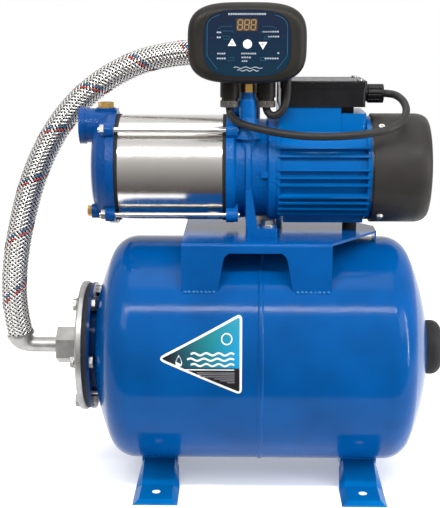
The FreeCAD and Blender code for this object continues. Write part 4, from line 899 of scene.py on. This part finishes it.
# Waves: the height and left end of each. They share one right end.
WAVES = ((0.1865, -0.0790), (0.1805, -0.0830), (0.1745, -0.0790))
WAVE_END = -0.0300
for number, (z, start) in enumerate(WAVES):
    wave = wave_line(start, WAVE_END, z, 0.0013, 3.5, 42)
    tank_ribbon("sticker_wave_%d" % number, wave, 0.0021, print_border)
ring = circle((-0.0385, 0.2030), 0.0058, ROUND_POINTS)
tank_ribbon("sticker_ring", ring, 0.0013, print_border, closed=True)

DROP_X = -0.0925
DROP_Z = 0.1790
DROP_HALF_WIDTH = 0.0052
DROP_HALF_HEIGHT = 0.0068
DROP_TAPER = 1.4


def sticker_drop():
    """A plain water drop near the label's point."""
    outline = []
    for index in range(ROUND_POINTS):
        angle = 2 * math.pi * index / ROUND_POINTS
        narrow = math.sin(angle / 2) ** DROP_TAPER
        outline.append(on_tank(DROP_X + DROP_HALF_WIDTH * math.sin(angle) * narrow,
                               DROP_Z + DROP_HALF_HEIGHT * math.cos(angle)))
    face = tuple(reversed(range(ROUND_POINTS)))
    return add_object("sticker_drop", mesh_from("sticker_drop", outline, [face]), print_border)


sticker_drop()


# ---------------------------------------------------------------- weld beads under the bridge skirts

BEAD_R = 0.0022
BEAD_SPACING = 2.3 * BEAD_R
BEAD_SPREAD = 0.15
BEAD_RUNS = ((-0.087, -0.054), (0.042, 0.077))
BEAD_SEED = 5
BEAD_PROUD = 0.0006
SKIRT_Y = -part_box("pump_bridge")[0].y + BEAD_PROUD
SKIRT_Z = TANK_Z + math.sqrt(TANK_R ** 2 - SKIRT_Y ** 2)


def weld_bead(name, start, end, seed):
    """A row of small weld drops between two points."""
    rng = random.Random(seed)
    work = bmesh.new()
    run = Vector(end) - Vector(start)
    count = max(2, round(run.length / BEAD_SPACING))
    for index in range(count + 1):
        spot = Vector(start) + run * index / count
        before = len(work.verts)
        radius = BEAD_R * rng.uniform(1 - BEAD_SPREAD, 1 + BEAD_SPREAD)
        bmesh.ops.create_icosphere(work, subdivisions=2, radius=radius)
        work.verts.ensure_lookup_table()
        for vertex in work.verts[before:]:
            vertex.co = vertex.co + spot
    mesh = bpy.data.meshes.new(name)
    work.to_mesh(mesh)
    work.free()
    for polygon in mesh.polygons:
        polygon.use_smooth = True
    return add_object(name, mesh, bead_paint_highlight)


for letter, side in (("f", -1), ("b", 1)):
    for number, (x0, x1) in enumerate(BEAD_RUNS):
        weld_bead("skirt_weld_%s%d" % (letter, number), (x0, side * SKIRT_Y, SKIRT_Z),
                  (x1, side * SKIRT_Y, SKIRT_Z), BEAD_SEED + number)


# ---------------------------------------------------------------- stage, light and camera

def stage_table():
    """A white table that ends a little way in front of the pump."""
    half_width = 1.8
    front = -0.32
    back = 1.8
    corners = [(-half_width, front, 0), (half_width, front, 0), (half_width, back, 0),
               (-half_width, back, 0)]
    mesh = mesh_from("studio_table", corners, [(0, 1, 2, 3)])
    table = bpy.data.objects.new("studio_table", mesh)
    bpy.context.scene.collection.objects.link(table)
    shader = Shader("table_white", (0.93, 0.93, 0.93), 0.6, Specular_IOR_Level=0.2,
                    Emission_Color=(1.0, 1.0, 1.0, 1.0), Emission_Strength=0.28)
    mesh.materials.append(shader.material)


def studio_world():
    """White behind the pump; in front a room that is dark below and brighter towards the ceiling."""
    world = bpy.data.worlds.new("studio")
    bpy.context.scene.world = world
    world.use_nodes = True
    tree = world.node_tree
    background = tree.nodes["Background"]
    direction = tree.nodes.new("ShaderNodeSeparateXYZ")
    tree.links.new(tree.nodes.new("ShaderNodeTexCoord").outputs["Generated"], direction.inputs["Vector"])

    def remapped(output, low, high):
        """A direction's component turned into a share from 0 to 1."""
        made = tree.nodes.new("ShaderNodeMapRange")
        made.inputs["From Min"].default_value = low
        made.inputs["From Max"].default_value = high
        tree.links.new(output, made.inputs["Value"])
        return made.outputs["Result"]

    room = tree.nodes.new("ShaderNodeValToRGB")
    stops = [(0.0, (0.07, 0.062, 0.058)), (0.14, (0.12, 0.105, 0.1)), (0.42, (0.4, 0.385, 0.375)),
             (0.6, (0.62, 0.61, 0.6)), (0.8, (0.85, 0.84, 0.83)), (1.0, (0.95, 0.95, 0.95))]
    while len(room.color_ramp.elements) < len(stops):
        room.color_ramp.elements.new(0.5)
    for element, (position, color) in zip(room.color_ramp.elements, stops):
        element.position = position
        element.color = (*color, 1.0)
    tree.links.new(remapped(direction.outputs["Z"], -1.0, 1.0), room.inputs["Fac"])
    color = room.outputs["Color"]
    fade_start = -0.05
    fade_end = 0.35
    towards_back = remapped(direction.outputs["Y"], fade_start, fade_end)
    seen = tree.nodes.new("ShaderNodeLightPath").outputs["Is Camera Ray"]
    for whiteness in (towards_back, seen):
        blend = tree.nodes.new("ShaderNodeMix")
        blend.data_type = "RGBA"
        tree.links.new(whiteness, blend.inputs["Factor"])
        tree.links.new(color, blend.inputs[MIX_FIRST])
        blend.inputs[MIX_SECOND].default_value = (1.0, 1.0, 1.0, 1.0)
        color = blend.outputs[MIX_RESULT]
    tree.links.new(color, background.inputs["Color"])
    background.inputs["Strength"].default_value = 1.0


def area_light(name, place, target, width, height, power):
    """A white softbox that faces its target."""
    data = bpy.data.lights.new(name, "AREA")
    data.shape = "RECTANGLE"
    data.size = width
    data.size_y = height
    data.energy = power
    lamp = bpy.data.objects.new(name, data)
    lamp.location = place
    lamp.rotation_euler = (Vector(target) - Vector(place)).to_track_quat("-Z", "Y").to_euler()
    bpy.context.scene.collection.objects.link(lamp)


stage_table()
studio_world()
area_light("strip_softbox", (0.0, -0.56, 0.84), (0.0, -0.08, 0.3), 1.0, 0.05, 5.0)
area_light("side_strip", (1.2, -0.5, 0.45), (0.2, 0.0, 0.2), 0.03, 0.9, 8.0)
area_light("key_softbox", (-1.0, -1.3, 1.5), (0, 0, 0.3), 0.8, 0.8, 9.0)
area_light("fill_softbox", (1.3, -1.0, 1.1), (0, 0, 0.3), 0.7, 0.7, 5.5)
area_light("top_softbox", (0.0, 0.1, 1.9), (0, 0, 0.2), 1.2, 1.2, 9.0)

LENS_MM = 81.496063
SENSOR_MM = 36.0
CAMERA_PLACE = (-0.019515, -1.376773, 0.567352)
CAMERA_DIP = 0.21029
CAMERA_TURN = 0.02133
camera_data = bpy.data.cameras.new("photo_camera")
camera_data.lens = LENS_MM
camera_data.sensor_width = SENSOR_MM
camera = bpy.data.objects.new("photo_camera", camera_data)
camera.location = CAMERA_PLACE
camera.rotation_euler = (math.pi / 2 - CAMERA_DIP, 0.0, CAMERA_TURN)
bpy.context.scene.collection.objects.link(camera)
bpy.context.scene.camera = camera
bpy.context.scene.view_settings.view_transform = "Standard"

bpy.context.view_layer.update()
